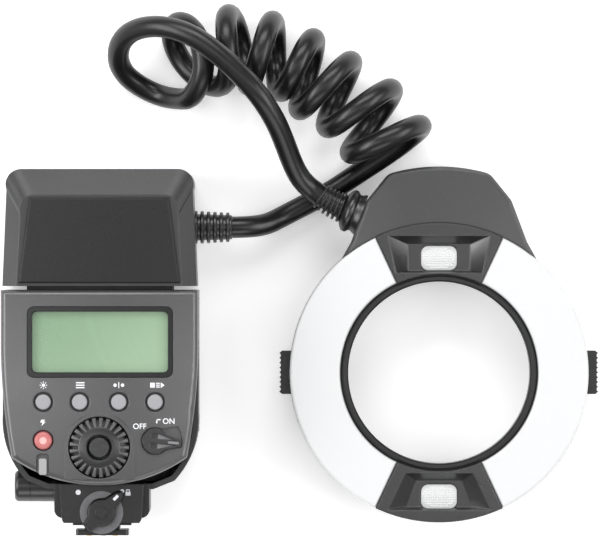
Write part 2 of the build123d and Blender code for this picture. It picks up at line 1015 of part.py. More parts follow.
def flash_capacitor():
    z = wall + capacitor_radius
    y = head_foot + head_height / 2
    left = -head_crown_width / 2
    can = rod(capacitor_radius, (left, y, z), (left + capacitor_length, y, z))
    for x in (left, left + capacitor_length - capacitor_rim):
        groove = rod(capacitor_radius + overrun, (x + capacitor_rim, y, z), (x + 2 * capacitor_rim, y, z))
        core = rod(capacitor_radius - capacitor_rim, (x + capacitor_rim, y, z), (x + 2 * capacitor_rim, y, z))
        if x == left:
            can -= groove - core
    return at_unit(can)


def charge_transformer():
    width = transformer_width / 2
    bobbin = transformer_bobbin / 2
    depth = transformer_depth / 2
    core = box_between((-width, -depth, 0), (width, depth, transformer_height))
    for side in (-1, 1):
        core -= Pos(side * (width + bobbin) / 2, 0, transformer_height / 2) * Box(
            (width - bobbin) * 0.6, transformer_depth + overrun, transformer_height * 0.6)
    return at_unit(Pos(transformer_x, transformer_y, wall) * core)


def head_board():
    half = head_board_half
    board = box_between(
        (-half, head_board_low, head_board_z), (half, head_board_high, head_board_z + head_board_thick))
    for side in (-1, 1):
        for y in (head_board_low + spacer_in, head_board_high - spacer_in):
            board += rod(
                spacer_radius, (side * (half - spacer_in), y, wall),
                (side * (half - spacer_in), y, head_board_z))
    return at_unit(board)


# Covered socket
def socket_barrel():
    left = socket_right - socket_length
    body = rod(socket_radius, (socket_right, socket_y, socket_z), (left, socket_y, socket_z))
    body -= rod(
        plug_radius + fit, (left - overrun, socket_y, socket_z),
        (left + plug_length + 2 * fit, socket_y, socket_z))
    return at_unit(body)


def socket_cap():
    left = socket_right - socket_length
    cap = rod(socket_radius, (left - seat, socket_y, socket_z), (left - cap_length, socket_y, socket_z))
    cap = fillet(cap.faces().sort_by(Axis.X)[0].edges(), cap_round)
    plug = rod(plug_radius, (left - fit, socket_y, socket_z), (left + plug_length, socket_y, socket_z))
    return at_unit(cap + plug)


# Shoe foot
def shoe_foot():
    plate = Pos(foot_x, pin_reach, foot_z) * box_up(shoe_width, shoe_thick, shoe_length)
    plate = fillet(plate.edges().filter_by(Axis.Y), shoe_corner)
    neck = Pos(foot_x, shoe_top, foot_z) * box_up(shoe_neck_width, shoe_neck, shoe_neck_length)
    foot = plate + neck
    for x, z in contact_places():
        foot -= rod(contact_hole, (x, 0, z), (x, block_bottom + overrun, z))
    foot -= rod(lock_pin_radius + fit, (foot_x, 0, lock_pin_z), (foot_x, block_bottom + overrun, lock_pin_z))
    return at_unit(foot)


def box_up(width, height, depth):
    return Box(width, height, depth, align=(Align.CENTER, Align.MIN, Align.CENTER))


def contact_places():
    step = contact_step
    return [
        (foot_x, foot_z),
        (foot_x - step, foot_z + step), (foot_x + step, foot_z + step),
        (foot_x - step, foot_z - step / 4), (foot_x + step, foot_z - step / 4),
    ]


def shoe_contacts():
    pins = [
        fillet(
            rod(contact_radius, (x, pin_reach - contact_proud, z), (x, block_bottom + contact_root, z))
            .faces().sort_by(Axis.Y)[0].edges(), contact_proud)
        for x, z in contact_places()
    ]
    return at_unit(solids_of(*pins))


def lock_pin_space(radius, low, head_low, head_high):
    shaft = rod(radius, (foot_x, low, lock_pin_z), (foot_x, head_low, lock_pin_z))
    head = rod(
        radius + lock_pin_head - lock_pin_radius,
        (foot_x, head_low, lock_pin_z), (foot_x, head_high, lock_pin_z))
    return shaft + head


def lock_pin():
    head_low = lock_pin_length - lock_pin_head_height
    pin = lock_pin_space(lock_pin_radius, 0, head_low, lock_pin_length)
    tip = pin.faces().sort_by(Axis.Y)[0]
    return at_unit(chamfer(tip.edges(), lock_pin_radius * 0.3))


def foot_block():
    half_top = block_width / 2
    half_low = block_foot_width / 2
    outline = polygon([
        (foot_x - half_top, block_top), (foot_x + half_top, block_top),
        (foot_x + half_low, block_bottom), (foot_x - half_low, block_bottom)])
    block = prism(outline, block_low_z, block_high_z)
    block = fillet(block.edges().filter_by(Axis.Z).sort_by(Axis.Y)[:2], block_corner)
    half = saddle_width / 2
    saddle = polygon([
        (foot_x - half, block_top), (foot_x + half, block_top),
        (foot_x + half, saddle_low), (foot_x - half, saddle_low)])
    body = prism(saddle, saddle_low_z, saddle_high_z)
    body = fillet(body.edges().filter_by(Axis.Z).sort_by(Axis.Y)[:2], saddle_corner)
    block = block + body
    block -= prism(deep_outline(), 0, split_z)
    block -= prism(face_outline(), split_z, unit_depth)
    block -= collar_relief()
    block -= socket_bore()
    head_low = lock_pin_length - lock_pin_head_height - fit
    block -= lock_pin_space(
        lock_pin_radius + fit, block_bottom - overrun, head_low, lock_pin_length + lock_lift + fit)
    shaft_end = block_high_z - lever_shaft_length - fit
    block -= rod(
        lever_shaft + running, (foot_x, lever_y, block_high_z + overrun), (foot_x, lever_y, shaft_end))
    for x, z in contact_places():
        block -= rod(contact_radius, (x, block_bottom - overrun, z), (x, block_bottom + contact_root, z))
    return at_unit(block)


def collar_relief():
    half = collar_width / 2
    length = shoe_length / 2 + collar_height
    top = block_bottom + collar_height
    around = box_between(
        (foot_x - block_width, 0, block_low_z - overrun),
        (foot_x + block_width, top, block_high_z + overrun))
    collar = box_between(
        (foot_x - half, block_bottom, foot_z - length), (foot_x + half, top, foot_z + length))
    return around - collar


def lock_washer():
    low = block_high_z
    return at_unit(Pos(foot_x, lever_y, low) * extrude(
        Circle(washer_radius) - Circle(lever_shaft + fit), amount=washer_thick))


def lock_lever():
    low = block_high_z + washer_thick + fit
    top = low + lever_thick
    half_tip = lever_tip_width / 2
    half_tail = lever_tail_width / 2
    arm = polygon([
        (0, -lever_radius * 0.62), (lever_reach - half_tip, -half_tip), (lever_reach, 0),
        (lever_reach - half_tip, half_tip), (0, lever_radius * 0.62)])
    tail = polygon([
        (0, lever_radius * 0.5), (-lever_tail, half_tail), (-lever_tail, -half_tail),
        (0, -lever_radius * 0.5)])
    disc = Circle(lever_radius * 0.8)
    body = prism(disc + arm + tail, low, top)
    body = chamfer(body.faces().sort_by(Axis.Z)[-1].edges(), lever_thick / 5)
    body += prism(Circle(lever_hub), top - seat, top + lever_hub_proud)
    body += prism(Circle(lever_shaft), block_high_z - lever_shaft_length, low)
    return at_unit(Pos(foot_x, lever_y, 0) * Rot(0, 0, lever_rest_deg) * body)


# Strain reliefs
def ribbed_profile(root, tip, length, count):
    pitch = length / count
    points = [(0, 0), (0, root)]
    for index in range(count):
        start = index * pitch
        radius = root + (tip - root) * (index + 1) / count
        points.append((start + pitch * relief_groove, radius))
        points.append((start + pitch * relief_groove, radius - relief_rib))
        points.append((start + pitch - seat, radius - relief_rib))
        points.append((start + pitch, radius))
    points.append((length, tip))
    points.append((length, 0))
    return points


def revolved(points, place, heading_deg):
    cleaned = [points[0]]
    for point in points[1:]:
        gap = (Vector(*point) - Vector(*cleaned[-1])).length
        if gap > 0:
            cleaned.append(point)
    solid = revolve(polygon(cleaned), Axis.X)
    return Pos(*place) * Rot(0, 0, heading_deg) * solid


def unit_relief_root_x():
    share = (unit_relief_y - head_foot) / (head_top - head_brow_drop - head_foot)
    side = head_foot_width / 2 + (head_brow_width - head_foot_width) / 2 * share
    return side - wall + unit_relief_sink


def unit_relief():
    start = unit_relief_root_x()
    points = ribbed_profile(
        unit_relief_root, unit_relief_tip, unit_relief_length, unit_relief_ribs)
    return at_unit(revolved(points, (start, unit_relief_y, unit_relief_z), 0))


def hump_side_heading():
    run_x = hump_waist_x - hump_side_x
    run_y = hump_side_y - hump_waist_y
    return 180 - degrees(atan2(run_x, run_y))


def ring_relief_place():
    slope = (hump_waist_x - hump_side_x) / (hump_side_y - hump_waist_y)
    x = -(hump_waist_x + hump_side_x) / 2 + ring_relief_shift * slope
    y = (hump_waist_y + hump_side_y) / 2 + ring_relief_shift
    return (x, y, ring_relief_z)


def ring_relief():
    bell_end = ring_base_length + ring_bell_length
    waist = (ring_relief_root + ring_bell_radius) / 2
    points = [
        (0, 0),
        (0, ring_base_radius),
        (ring_base_length * 0.6, waist),
        (ring_base_length, waist),
        (ring_base_length + ring_bell_length * 0.15, ring_bell_radius),
        (ring_base_length + ring_bell_length * 0.45, ring_bell_radius),
        (bell_end, ring_relief_root - relief_rib),
    ]
    ribs = ribbed_profile(
        ring_relief_root, ring_relief_tip, ring_relief_length, ring_relief_ribs)
    points += [(x + bell_end, r) for x, r in ribs[1:]]
    points.append((bell_end + ring_relief_length, 0))
    return at_ring(revolved(points, ring_relief_place(), hump_side_heading()))


# Ring head
def inner_rim():
    body = ring_slab(adapter_radius, rim_skirt_radius, 0, adapter_grip)
    body += ring_slab(
        adapter_radius + adapter_groove, rim_skirt_radius, adapter_grip, adapter_depth)
    body += ring_slab(opening_radius, rim_skirt_radius, adapter_depth, ring_depth - rim_face_drop)
    body += ring_slab(opening_radius, rim_radius, ring_depth - rim_face_drop, ring_depth)
    groove = ring_slab(opening_radius - overrun, opening_radius + rim_lip, 0, rim_lip)
    body -= Pos(0, 0, ring_depth - rim_face_drop) * groove
    body = chamfer(body.faces().sort_by(Axis.Z)[-1].edges(), rim_lip)
    for side in (-1, 1):
        body -= hook_slot(side)
    return at_ring(body)


def hook_slot(side):
    low = side * (latch_hook_low - fit)
    high = side * (latch_hook_high + fit)
    return box_between(
        (side * (opening_radius - overrun * 2), min(low, high), latch_low - fit),
        (side * (rim_skirt_radius + overrun), max(low, high), latch_low + latch_thick + fit))


def hump_outline(inset=0.0):
    waist_y = hump_waist_y
    right = [
        (hump_foot_x, hump_foot_y),
        (hump_waist_x, waist_y),
        (hump_side_x, hump_side_y),
        (hump_shoulder_x, hump_shoulder_y),
    ]
    crown = (0, hump_reach)
    foot_low = hump_foot_y - frame_wall
    edges = [
        Line(right[0], right[1]),
        Line(right[1], right[2]),
        Line(right[2], right[3]),
        ThreePointArc(right[3], crown, (-right[3][0], right[3][1])),
        Line((-right[3][0], right[3][1]), (-right[2][0], right[2][1])),
        Line((-right[2][0], right[2][1]), (-right[1][0], right[1][1])),
        Line((-right[1][0], right[1][1]), (-right[0][0], right[0][1])),
        Line((-right[0][0], right[0][1]), (-right[0][0], foot_low)),
        Line((-right[0][0], foot_low), (right[0][0], foot_low)),
        Line((right[0][0], foot_low), right[0]),
    ]
    outline = make_face(edges)
    corners = outline.vertices().sort_by(Axis.Y)[-4:]
    outline = fillet(corners, hump_shoulder_round)
    if inset:
        outline = offset(outline, -inset, kind=Kind.INTERSECTION)
    return outline - Circle(ring_radius + inset)


def rear_cover():
    plate = ring_slab(rim_skirt_radius, ring_radius, 0, rear_plate)
    plate += ring_slab(ring_radius - frame_wall, ring_radius, rear_plate, rear_high)
    outer = plate.faces().sort_by(Axis.Z)[0].outer_wire().edges()
    plate = fillet(outer, rear_round)
    hump = prism(hump_outline(), 0, hump_split)
    hump -= prism(hump_outline(wall), rear_plate, hump_split + overrun)
    body = plate + hump
    for x, y in ring_screw_places():
        body -= screw_space(x, y)
    return at_ring(body)


def ring_screw_places():
    places = []
    for index in range(ring_screw_count):
        angle = radians(ring_screw_deg + 360 / ring_screw_count * index)
        places.append((ring_screw_circle * cos(angle), ring_screw_circle * sin(angle)))
    return places


def follows_ring(edge):
    return edge.geom_type == GeomType.CIRCLE and abs(edge.radius - ring_radius) < overrun


def hump_cover():
    hump = prism(hump_outline(), hump_split, hump_face)
    top = hump.faces().sort_by(Axis.Z)[-1]
    rim = [edge for edge in top.edges() if not follows_ring(edge)]
    hump = chamfer(rim, hump_edge)
    hump -= prism(hump_outline(wall), hump_split - overrun, hump_face - wall)
    return at_ring(hump)


def quad(outer_x, outer_y, inner_x, inner_y):
    return polygon([(-outer_x, outer_y), (outer_x, outer_y), (inner_x, inner_y), (-inner_x, inner_y)])


def upper_recess():
    top = Plane.XY.offset(wedge_face + seat) * quad(
        upper_recess_outer_x, upper_recess_outer_y, upper_recess_inner_x, upper_recess_inner_y)
    floor = Plane.XY.offset(wedge_floor) * quad(
        upper_floor_x, upper_floor_outer_y, upper_floor_x, upper_floor_inner_y)
    return loft([floor, top], ruled=True)


def lower_recess():
    top = Plane.XY.offset(wedge_face + seat) * quad(
        lower_recess_inner_x, lower_recess_inner_y, lower_recess_outer_x, lower_recess_outer_y)
    floor = Plane.XY.offset(wedge_floor) * quad(
        lower_floor_inner_x, lower_floor_inner_y, lower_floor_outer_x, lower_floor_outer_y)
    return loft([floor, top], ruled=True)


def window_outline(y, grow):
    return Pos(0, y) * RectangleRounded(
        window_width + 2 * grow, window_height + 2 * grow, window_corner + grow)


def wedge_space():
    reach = 2 * ring_radius
    across = reach * tan(radians(wedge_half_deg))
    bow = polygon([(0, 0), (across, reach), (-across, reach)]) + polygon(
        [(0, 0), (-across, -reach), (across, -reach)])
    return prism(bow, web_low, wedge_face + overrun)


def ring_frame():
    body = ring_slab(rim_skirt_radius, ring_radius, web_low, web_high)
    body += ring_slab(ring_radius - frame_wall, ring_radius, rear_high, frame_high)
    body += ring_slab(rim_skirt_radius, ring_radius, web_high, wedge_face) & wedge_space()
    body -= upper_recess()
    body -= lower_recess()
    for x, y in ring_screw_places():
        body += Pos(x, y, ring_boss_low) * extrude(
            Circle(ring_boss_radius), amount=web_high - ring_boss_low)
        body -= Pos(x, y, 0) * extrude(
            Circle(screw_shank + seat), amount=screw_sink + screw_length + seat)
    for y in (upper_window_y, lower_window_y):
        body -= prism(window_outline(y, seat), wedge_floor - window_thick + window_proud, wedge_face)
        body -= prism(Pos(0, y) * Circle(led_base + fit), web_high, wedge_face)
    for side in (-1, 1):
        half = release_height / 2 + fit
        body -= box_between(
            (min(side * (release_inner - latch_travel - fit), side * (ring_radius + overrun)), -half,
             release_low_z - fit),
            (max(side * (release_inner - latch_travel - fit), side * (ring_radius + overrun)), half,
             release_high_z + fit))
    return at_ring(body)


def diffuser(middle):
    half = 90 - wedge_half_deg
    inner = rim_skirt_radius + diffuser_gap
    outer = ring_radius - diffuser_gap
    trim = degrees(diffuser_gap / ring_radius)
    inset = degrees(diffuser_wall / tube_ring_radius)
    body = prism(sector(inner, outer, middle, half - trim), frame_high, diffuser_face)
    body = fillet(body.faces().sort_by(Axis.Z)[-1].edges(), diffuser_round)
    hollow = sector(inner + diffuser_wall, outer - diffuser_wall, middle, half - trim - inset)
    body -= prism(hollow, frame_high - overrun, diffuser_face - diffuser_wall)
    return at_ring(body)


def lamp_window(y):
    low = wedge_floor - window_thick + window_proud
    pane = prism(window_outline(y, 0.0), low, low + window_thick)
    return at_ring(fillet(pane.faces().sort_by(Axis.Z)[-1].edges(), window_proud))


def focus_lamps():
    pieces = []
    for y in (upper_window_y, lower_window_y):
        base = Pos(0, y, web_high) * extrude(Circle(led_base), amount=led_base_height)
        stem_height = led_height - led_radius
        stem = Pos(0, y, web_high + led_base_height) * extrude(Circle(led_radius), amount=stem_height)
        dome = Pos(0, y, web_high + led_base_height + stem_height) * Sphere(led_radius)
        pieces.append(base + stem + dome)
    return at_ring(solids_of(*pieces))


def swept_about_axis(section, middle, half_deg):
    turned = revolve(section, Axis.Z, 2 * half_deg)
    return Rot(0, 0, middle - half_deg) * turned


def flash_tube(middle):
    place = Plane.XZ * Pos(tube_ring_radius, tube_z)
    glass = swept_about_axis(place * Circle(tube_radius), middle, tube_half_deg)
    cap = place * Circle(tube_cap_radius)
    for side in (-1, 1):
        glass += swept_about_axis(cap, middle + side * (tube_half_deg - tube_cap_deg / 2), tube_cap_deg)
    return at_ring(glass)


def reflector(middle):
    half = reflector_half
    sheet = reflector_sheet
    centre = tube_ring_radius
    outline = [
        (centre - half, reflector_rise), (centre - half * 0.75, sheet * 3), (centre - half * 0.4, 0),
        (centre + half * 0.4, 0), (centre + half * 0.75, sheet * 3), (centre + half, reflector_rise)]
    inner = [
        (centre + half - sheet, reflector_rise), (centre + half * 0.75 - sheet, sheet * 4),
        (centre + half * 0.4, sheet), (centre - half * 0.4, sheet),
        (centre - half * 0.75 + sheet, sheet * 4), (centre - half + sheet, reflector_rise)]
    face = Plane.XZ * polygon(outline + inner)
    trough = swept_about_axis(face, middle, reflector_half_deg)
    return at_ring(Pos(0, 0, web_high) * trough)


def ring_board():
    board = Circle(ring_board_outer) - Circle(ring_board_inner)
    for x, y in ring_screw_places():
        board -= Pos(x, y) * Circle(ring_boss_radius + fit)
    return at_ring(prism(board, rear_plate, rear_plate + ring_board_thick))


# Release latches: pressing a side button draws back the hook on the far side of the opening
def latch_plate(side):
    low = latch_low
    high = latch_low + latch_thick
    band = Circle(latch_outer) - Circle(latch_inner)
    keep = box_between(
        (-ring_radius, -side * latch_gap, low), (ring_radius, -side * ring_radius, high))
    plate = prism(band, low, high) & keep
    plate += box_between(
        (side * (latch_inner + latch_gap), -side * latch_gap, low),
        (side * (release_inner + release_grip), -side * (latch_hook_high - latch_gap), high))
    plate += box_between(
        (-side * (adapter_radius - latch_hook_reach), -side * latch_hook_low, low),
        (-side * (latch_inner + latch_outer) / 2, -side * latch_hook_high, high))
    plate += box_between(
        (side * spring_post_x, -side * spring_low_y, spring_low_z),
        (side * (spring_post_x + spring_post_thick), -side * spring_high_y, high))
    return plate


def release_button(side):
    half = release_height / 2
    inner = release_inner
    outer = release_reach - release_ridge
    ridge = release_height / release_ridges
    points = [(inner, -half), (outer - release_ridge, -half)]
    for index in range(release_ridges):
        start = -half + index * ridge
        points.append((outer, start + ridge * 0.25))
        points.append((release_reach, start + ridge * 0.5))
        points.append((outer, start + ridge * 0.75))
    points += [(outer - release_ridge, half), (inner, half)]
    body = prism(polygon(points), release_low_z, release_high_z)
    if side < 0:
        body = Rot(0, 0, 180) * body
    return body


def release_latch(side):
    notch = latch_plate(side)
    cap = release_button(side)
    return at_ring(cap - notch), at_ring(notch), latch_spring(side)


def latch_spring(side):
    start = rim_skirt_radius + latch_travel + fit
    pitch = (spring_post_x - start) / spring_folds
    near, far = [], []
    for index in range(spring_folds + 1):
        x = start + index * pitch
        y = spring_low_y if index % 2 else spring_high_y
        near.append((side * x, -side * (y - spring_sheet / 2)))
        far.append((side * x, -side * (y + spring_sheet / 2)))
    return at_ring(prism(polygon(near + far[::-1]), spring_low_z, spring_high_z))


# Screws
def screw(x, y):
    head = Pos(x, y, screw_sink) * extrude(Circle(screw_radius), amount=screw_head)
    shank = Pos(x, y, screw_sink + screw_head) * extrude(
        Circle(screw_shank), amount=screw_length - screw_head)
    body = head + shank
    for angle in (45, 135):
        slot = Rot(0, 0, angle) * Box(screw_radius * 1.2, screw_cross, screw_head)
        body -= Pos(x, y, screw_sink) * slot
    return body


def unit_screws():
    return at_unit(solids_of(*[screw(x, y) for x, y in body_screw_places()]))


def ring_screws():
    return at_ring(solids_of(*[screw(x, y) for x, y in ring_screw_places()]))


# The cord: straight runs with tangent arcs for the free stretches, biarcs for the coil
def smooth(values, position):
    index = min(int(position), len(values) - 2)
    t = position - index
    before = values[index - 1] if index > 0 else 2 * values[0] - values[1]
    after = values[index + 2] if index + 2 < len(values) else 2 * values[-1] - values[-2]
    start, end = values[index], values[index + 1]
    first = (end - before) / 2
    last = (after - start) / 2
    rise = end - start
    return start + first * t + (3 * rise - 2 * first - last) * t ** 2 + (first + last - 2 * rise) * t ** 3


def coil_point(turn):
    x, y, heading, tilt, radius = [
        smooth([row[column] for row in coil_rows], turn) for column in range(1, 6)]
    heading = radians(heading)
    tilt = radians(tilt)
    angle = 2 * pi * turn
    z = cord_radius + coil_lift + radius * cos(tilt)
    side = Vector(-sin(heading), cos(heading), 0)
    front = Vector(-sin(tilt) * cos(heading), -sin(tilt) * sin(heading), cos(tilt))
    return Vector(x, y, z) + side * (radius * sin(angle)) + front * (radius * cos(angle))


def coil_direction(turn):
    step = 1 / 1000
    return (coil_point(turn + step) - coil_point(turn - step)).normalized()


def biarc(start, start_way, end, end_way):
    chord = end - start
    spread = 2 * (1 - start_way.dot(end_way))
    along = chord.dot(start_way + end_way)
    reach = (sqrt(along ** 2 + spread * chord.dot(chord)) - along) / spread
    join = (start + end + (start_way - end_way) * reach) / 2
    join_way = (end - end_way * reach - start - start_way * reach).normalized()
    return [
        Edge.make_tangent_arc(start, start_way, join),
        Edge.make_tangent_arc(join, join_way, end),
    ]


def coil_turns():
    count = ceil((coil_last_turn - coil_first_turn) * coil_steps / 2)
    span = (coil_last_turn - coil_first_turn) / count
    return [coil_first_turn + span * index for index in range(count + 1)]


def cord_coil():
    turns = coil_turns()
    edges = []
    for low, high in zip(turns, turns[1:]):
        edges += biarc(coil_point(low), coil_direction(low), coil_point(high), coil_direction(high))
    path = Wire(edges)
    plane = Plane(origin=coil_point(turns[0]), z_dir=coil_direction(turns[0]))
    return sweep(plane * Circle(cord_radius), path=path)


def coil_gap():
    count = int((coil_last_turn - coil_first_turn) * coil_gap_samples)
    step = (coil_last_turn - coil_first_turn) / count
    points = [coil_point(coil_first_turn + index * step) for index in range(count + 1)]
    least = min(
        (points[a] - points[b]).length
        for a in range(len(points))
        for b in range(a + coil_gap_samples // 2, len(points)))
    return least - cord_diameter


def stretch_tube(name, points):
    points = [Vector(*point) for point in points]
    runs = [(b - a).length for a, b in zip(points, points[1:])]
    radii = []
    for index in range(1, len(points) - 1):
        before = points[index] - points[index - 1]
        after = points[index + 1] - points[index]
        turn = radians(before.get_angle(after))
        radii.append(arc_run_share * min(runs[index - 1], runs[index]) / tan(turn / 2))
    path = FilletPolyline(*points, radius=radii)
    plane = Plane(origin=points[0], z_dir=points[1] - points[0])
    tube = sweep(plane * Circle(cord_radius), path=path)
    ideal = pi * cord_radius ** 2 * path.length
    print(name, "radii", [round(radius, 1) for radius in radii])
    print(name, "runs", [round(run, 1) for run in runs])
    print(name, "length", round(path.length, 1), "volume share", round(tube.volume / ideal, 4))
    return tube


def unit_cord_stretch():
    start = Vector(
        unit_x + unit_relief_root_x() + unit_relief_length, unit_y + unit_relief_y, unit_relief_z)
    way = Vector(1, 0, 0)
    end = coil_point(coil_last_turn)
    end_way = coil_direction(coil_last_turn)
    return start, way, unit_stretch_points, end, end_way


def ring_cord_stretch():
    x, y, z = ring_relief_place()
    heading = radians(hump_side_heading())
    way = Vector(cos(heading), sin(heading), 0)
    reach = ring_base_length + ring_bell_length + ring_relief_length
    start = Vector(ring_x + x, ring_y + y, z) + way * reach
    end = coil_point(coil_first_turn)
    end_way = coil_direction(coil_first_turn) * -1
    return start, way, ring_stretch_points, end, end_way


def stretch_route(start, way, middle, end, end_way):
    exit_point = start + way * (cord_diameter * exit_run_share)
    entry_point = end + end_way * (cord_diameter * entry_run_share)
    return [start, exit_point] + [Vector(*point) for point in middle] + [entry_point, end]


def build_all():
    parts = {
        "front_housing": front_housing(),
        "rear_housing": rear_housing(),
        "head_neck": head_neck(),
        "head_housing": head_housing(),
        "head_cover": head_cover(),
        "head_panel": head_panel(),
        "display_bezel": display_bezel(),
        "display_window": display_window(),
        "display_module": display_module(),
        "main_board": main_board(),
        "board_switches": solids_of(tact_switches(), dial_encoder(), power_slider()),
        "pilot_button": push_button(pilot_x, pilot_y, pilot_radius, pilot_proud),
        "confirm_lamp": confirm_lamp(),
        "select_dial": select_dial(),
        "set_button": set_button(),
        "power_switch": power_switch(),
        "battery_holder": battery_holder(),
        "battery_cells": battery_cells(),
        "battery_contacts": battery_contacts(),
        "battery_door": battery_door(),
        "hinge_rod": hinge_rod(),
        "flash_capacitor": flash_capacitor(),
        "charge_transformer": charge_transformer(),
        "head_board": head_board(),
        "socket_barrel": socket_barrel(),
        "socket_cap": socket_cap(),
        "foot_block": foot_block(),
        "shoe_foot": shoe_foot(),
        "shoe_contacts": shoe_contacts(),
        "lock_pin": lock_pin(),
        "lock_washer": lock_washer(),
        "lock_lever": lock_lever(),
        "case_screws": solids_of(unit_screws(), ring_screws()),
        "unit_relief": unit_relief(),
        "ring_relief": ring_relief(),
        "inner_rim": inner_rim(),
        "rear_cover": rear_cover(),
        "ring_frame": ring_frame(),
        "hump_cover": hump_cover(),
        "left_diffuser": diffuser(180),
        "right_diffuser": diffuser(0),
        "lamp_windows": solids_of(lamp_window(upper_window_y), lamp_window(lower_window_y)),
        "focus_lamps": focus_lamps(),
        "flash_tubes": solids_of(flash_tube(180), flash_tube(0)),
        "reflectors": solids_of(reflector(180), reflector(0)),
        "ring_board": ring_board(),
        "cord_to_unit": stretch_tube("cord_to_unit", stretch_route(*unit_cord_stretch())),
        "cord_to_ring": stretch_tube("cord_to_ring", stretch_route(*ring_cord_stretch())),
        "cord_coil": cord_coil(),
    }
    for name, (x, y) in button_places().items():
        parts[name] = push_button(x, y, button_radius, button_proud)
    for name, side in (("left", -1), ("right", 1)):
        cap, plate, spring = release_latch(side)
        parts[name + "_release_button"] = cap
        parts[name + "_latch_plate"] = plate
        parts[name + "_latch_spring"] = spring
    return parts


os.makedirs("parts", exist_ok=True)
for node, shape in build_all().items():
    export_step(shape, f"parts/{node}.step")
print("least gap between the coil's turns", round(coil_gap(), 2))
print("control unit centre", round(unit_x, 3), round(unit_y, 3))
print("ring axis", round(ring_x, 3), round(ring_y, 3))
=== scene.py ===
# %% [markdown]
# # A macro ring flash on a table
#
# The control unit lies on its front, with its display facing up. The ring head lies on its
# back beside it, and one curly cord joins the two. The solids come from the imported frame, in
# metres, so this script adds what a solid can't show: the cord as one spline, moulded and
# ground detail, printed marks, and a finish for every piece.

# %% Load the frame
from math import cos, pi, radians, sin

import bmesh
import bpy
from mathutils import Matrix, Vector


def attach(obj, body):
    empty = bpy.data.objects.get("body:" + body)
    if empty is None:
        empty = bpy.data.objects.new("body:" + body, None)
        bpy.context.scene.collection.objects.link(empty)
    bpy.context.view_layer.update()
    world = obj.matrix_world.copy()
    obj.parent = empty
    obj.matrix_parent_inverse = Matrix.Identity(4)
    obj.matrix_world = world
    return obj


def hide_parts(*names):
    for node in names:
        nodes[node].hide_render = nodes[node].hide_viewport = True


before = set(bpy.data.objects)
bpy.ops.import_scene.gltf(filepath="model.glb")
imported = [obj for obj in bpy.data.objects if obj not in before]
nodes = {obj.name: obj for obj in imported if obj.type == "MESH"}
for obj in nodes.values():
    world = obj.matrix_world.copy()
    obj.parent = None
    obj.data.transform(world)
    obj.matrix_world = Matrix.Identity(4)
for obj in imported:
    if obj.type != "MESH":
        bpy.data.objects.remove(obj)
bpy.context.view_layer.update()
MM = 0.001
# The control unit is measured from the tip of its foot, and the ring head from its axis.
UNIT = Vector((-70.85, -65.5, 0)) * MM
RING = Vector((48.75, -7.5, 0)) * MM

# %% [markdown]
# ## Camera
#
# The photograph looks straight down, from so far away that nothing leans outwards. A long
# lens on a camera three metres up gives the same flat view. The field is a little wider than
# the object, measured at about half the object's height.

# %% Camera
FIELD = 212 * MM
CAMERA_HEIGHT = 3.0
MIDDLE_X, MIDDLE_Y, MIDDLE_HEIGHT = -0.0005, 0.029, 0.03
SENSOR = 36.0
camera_data = bpy.data.cameras.new("camera")
camera_data.sensor_width = SENSOR
camera_data.lens = SENSOR * (CAMERA_HEIGHT - MIDDLE_HEIGHT) / FIELD
camera_data.clip_end = 20
camera = bpy.data.objects.new("camera", camera_data)
camera.location = (MIDDLE_X, MIDDLE_Y, CAMERA_HEIGHT)
bpy.context.scene.collection.objects.link(camera)
bpy.context.scene.camera = camera
print("lens", round(camera_data.lens), "mm")

# %% [markdown]
# ## The cord's line
#
# The cord leaves the head's ribbed relief, drops to the table, runs under the last loop and
# climbs into a coil of six and a half turns. From the coil's far end it swings out in one wide
# loop and comes down into the ring head's relief. It is one cord, so it is one spline. The
# coil is a helix whose axis, tilt and radius change a little from turn to turn, as a stretched
# cord's do, so its points come from a formula on one row of values for each turn.

# %% Points along the cord
CORD_RADIUS = 3.85
# Each row has the x, y, heading, tilt and radius of one turn, in millimetres and degrees.
COIL_ROWS = [
    (-43.2, 97.7, 38.3, -40.5, 12.9),
    (-45.6, 101.4, 4.0, -50.0, 14.5),
    (-26.8, 107.5, 14.0, -3.4, 12.3),
    (-15.5, 106.0, -6.9, -4.9, 12.6),
    (-1.7, 101.9, -15.0, -1.8, 11.3),
    (7.4, 94.5, -32.2, -4.6, 12.6),
    (20.4, 86.8, -43.1, -2.8, 12.8),
    (29.7, 75.4, -55.8, -1.4, 13.1),
    (36.5, 67.8, -62.4, -2.3, 12.8),
]
FIRST_TURN, LAST_TURN = 0.94, 7.5
COIL_LIFT = 0.1
POINTS_PER_TURN = 16
UNIT_EXIT = [(-24.55, 44.0, 12.0), (-19.9, 44.0, 12.0)]
UNIT_STRETCH = [
    (-12.5, 44.9, 7.9), (-6.5, 48.0, 4.3), (1.6, 52.2, 3.95), (10.2, 56.6, 3.95),
    (19.6, 62.9, 3.95),
]
RING_STRETCH = [
    (-65.5, 103.9, 13.0), (-64.2, 110.1, 19.5), (-58.8, 114.3, 26.0), (-49.8, 115.2, 32.8),
    (-40.0, 112.5, 37.0), (-31.4, 106.8, 38.0), (-22.6, 99.0, 38.0), (-14.8, 90.5, 37.2),
    (-9.1, 81.6, 32.0), (-5.6, 73.0, 26.2), (-3.2, 66.6, 22.3), (-0.6, 61.6, 19.4),
    (2.4, 58.4, 17.6),
]
LOOP_FOOT = [
    (-39.0, 89.6, 16.3), (-44.2, 89.6, 9.5), (-50.3, 90.8, 5.0), (-57.2, 94.0, 4.6),
    (-63.0, 98.4, 8.0),
]
RING_EXIT = [(4.6, 56.86, 17.0), (6.95, 54.99, 17.0)]


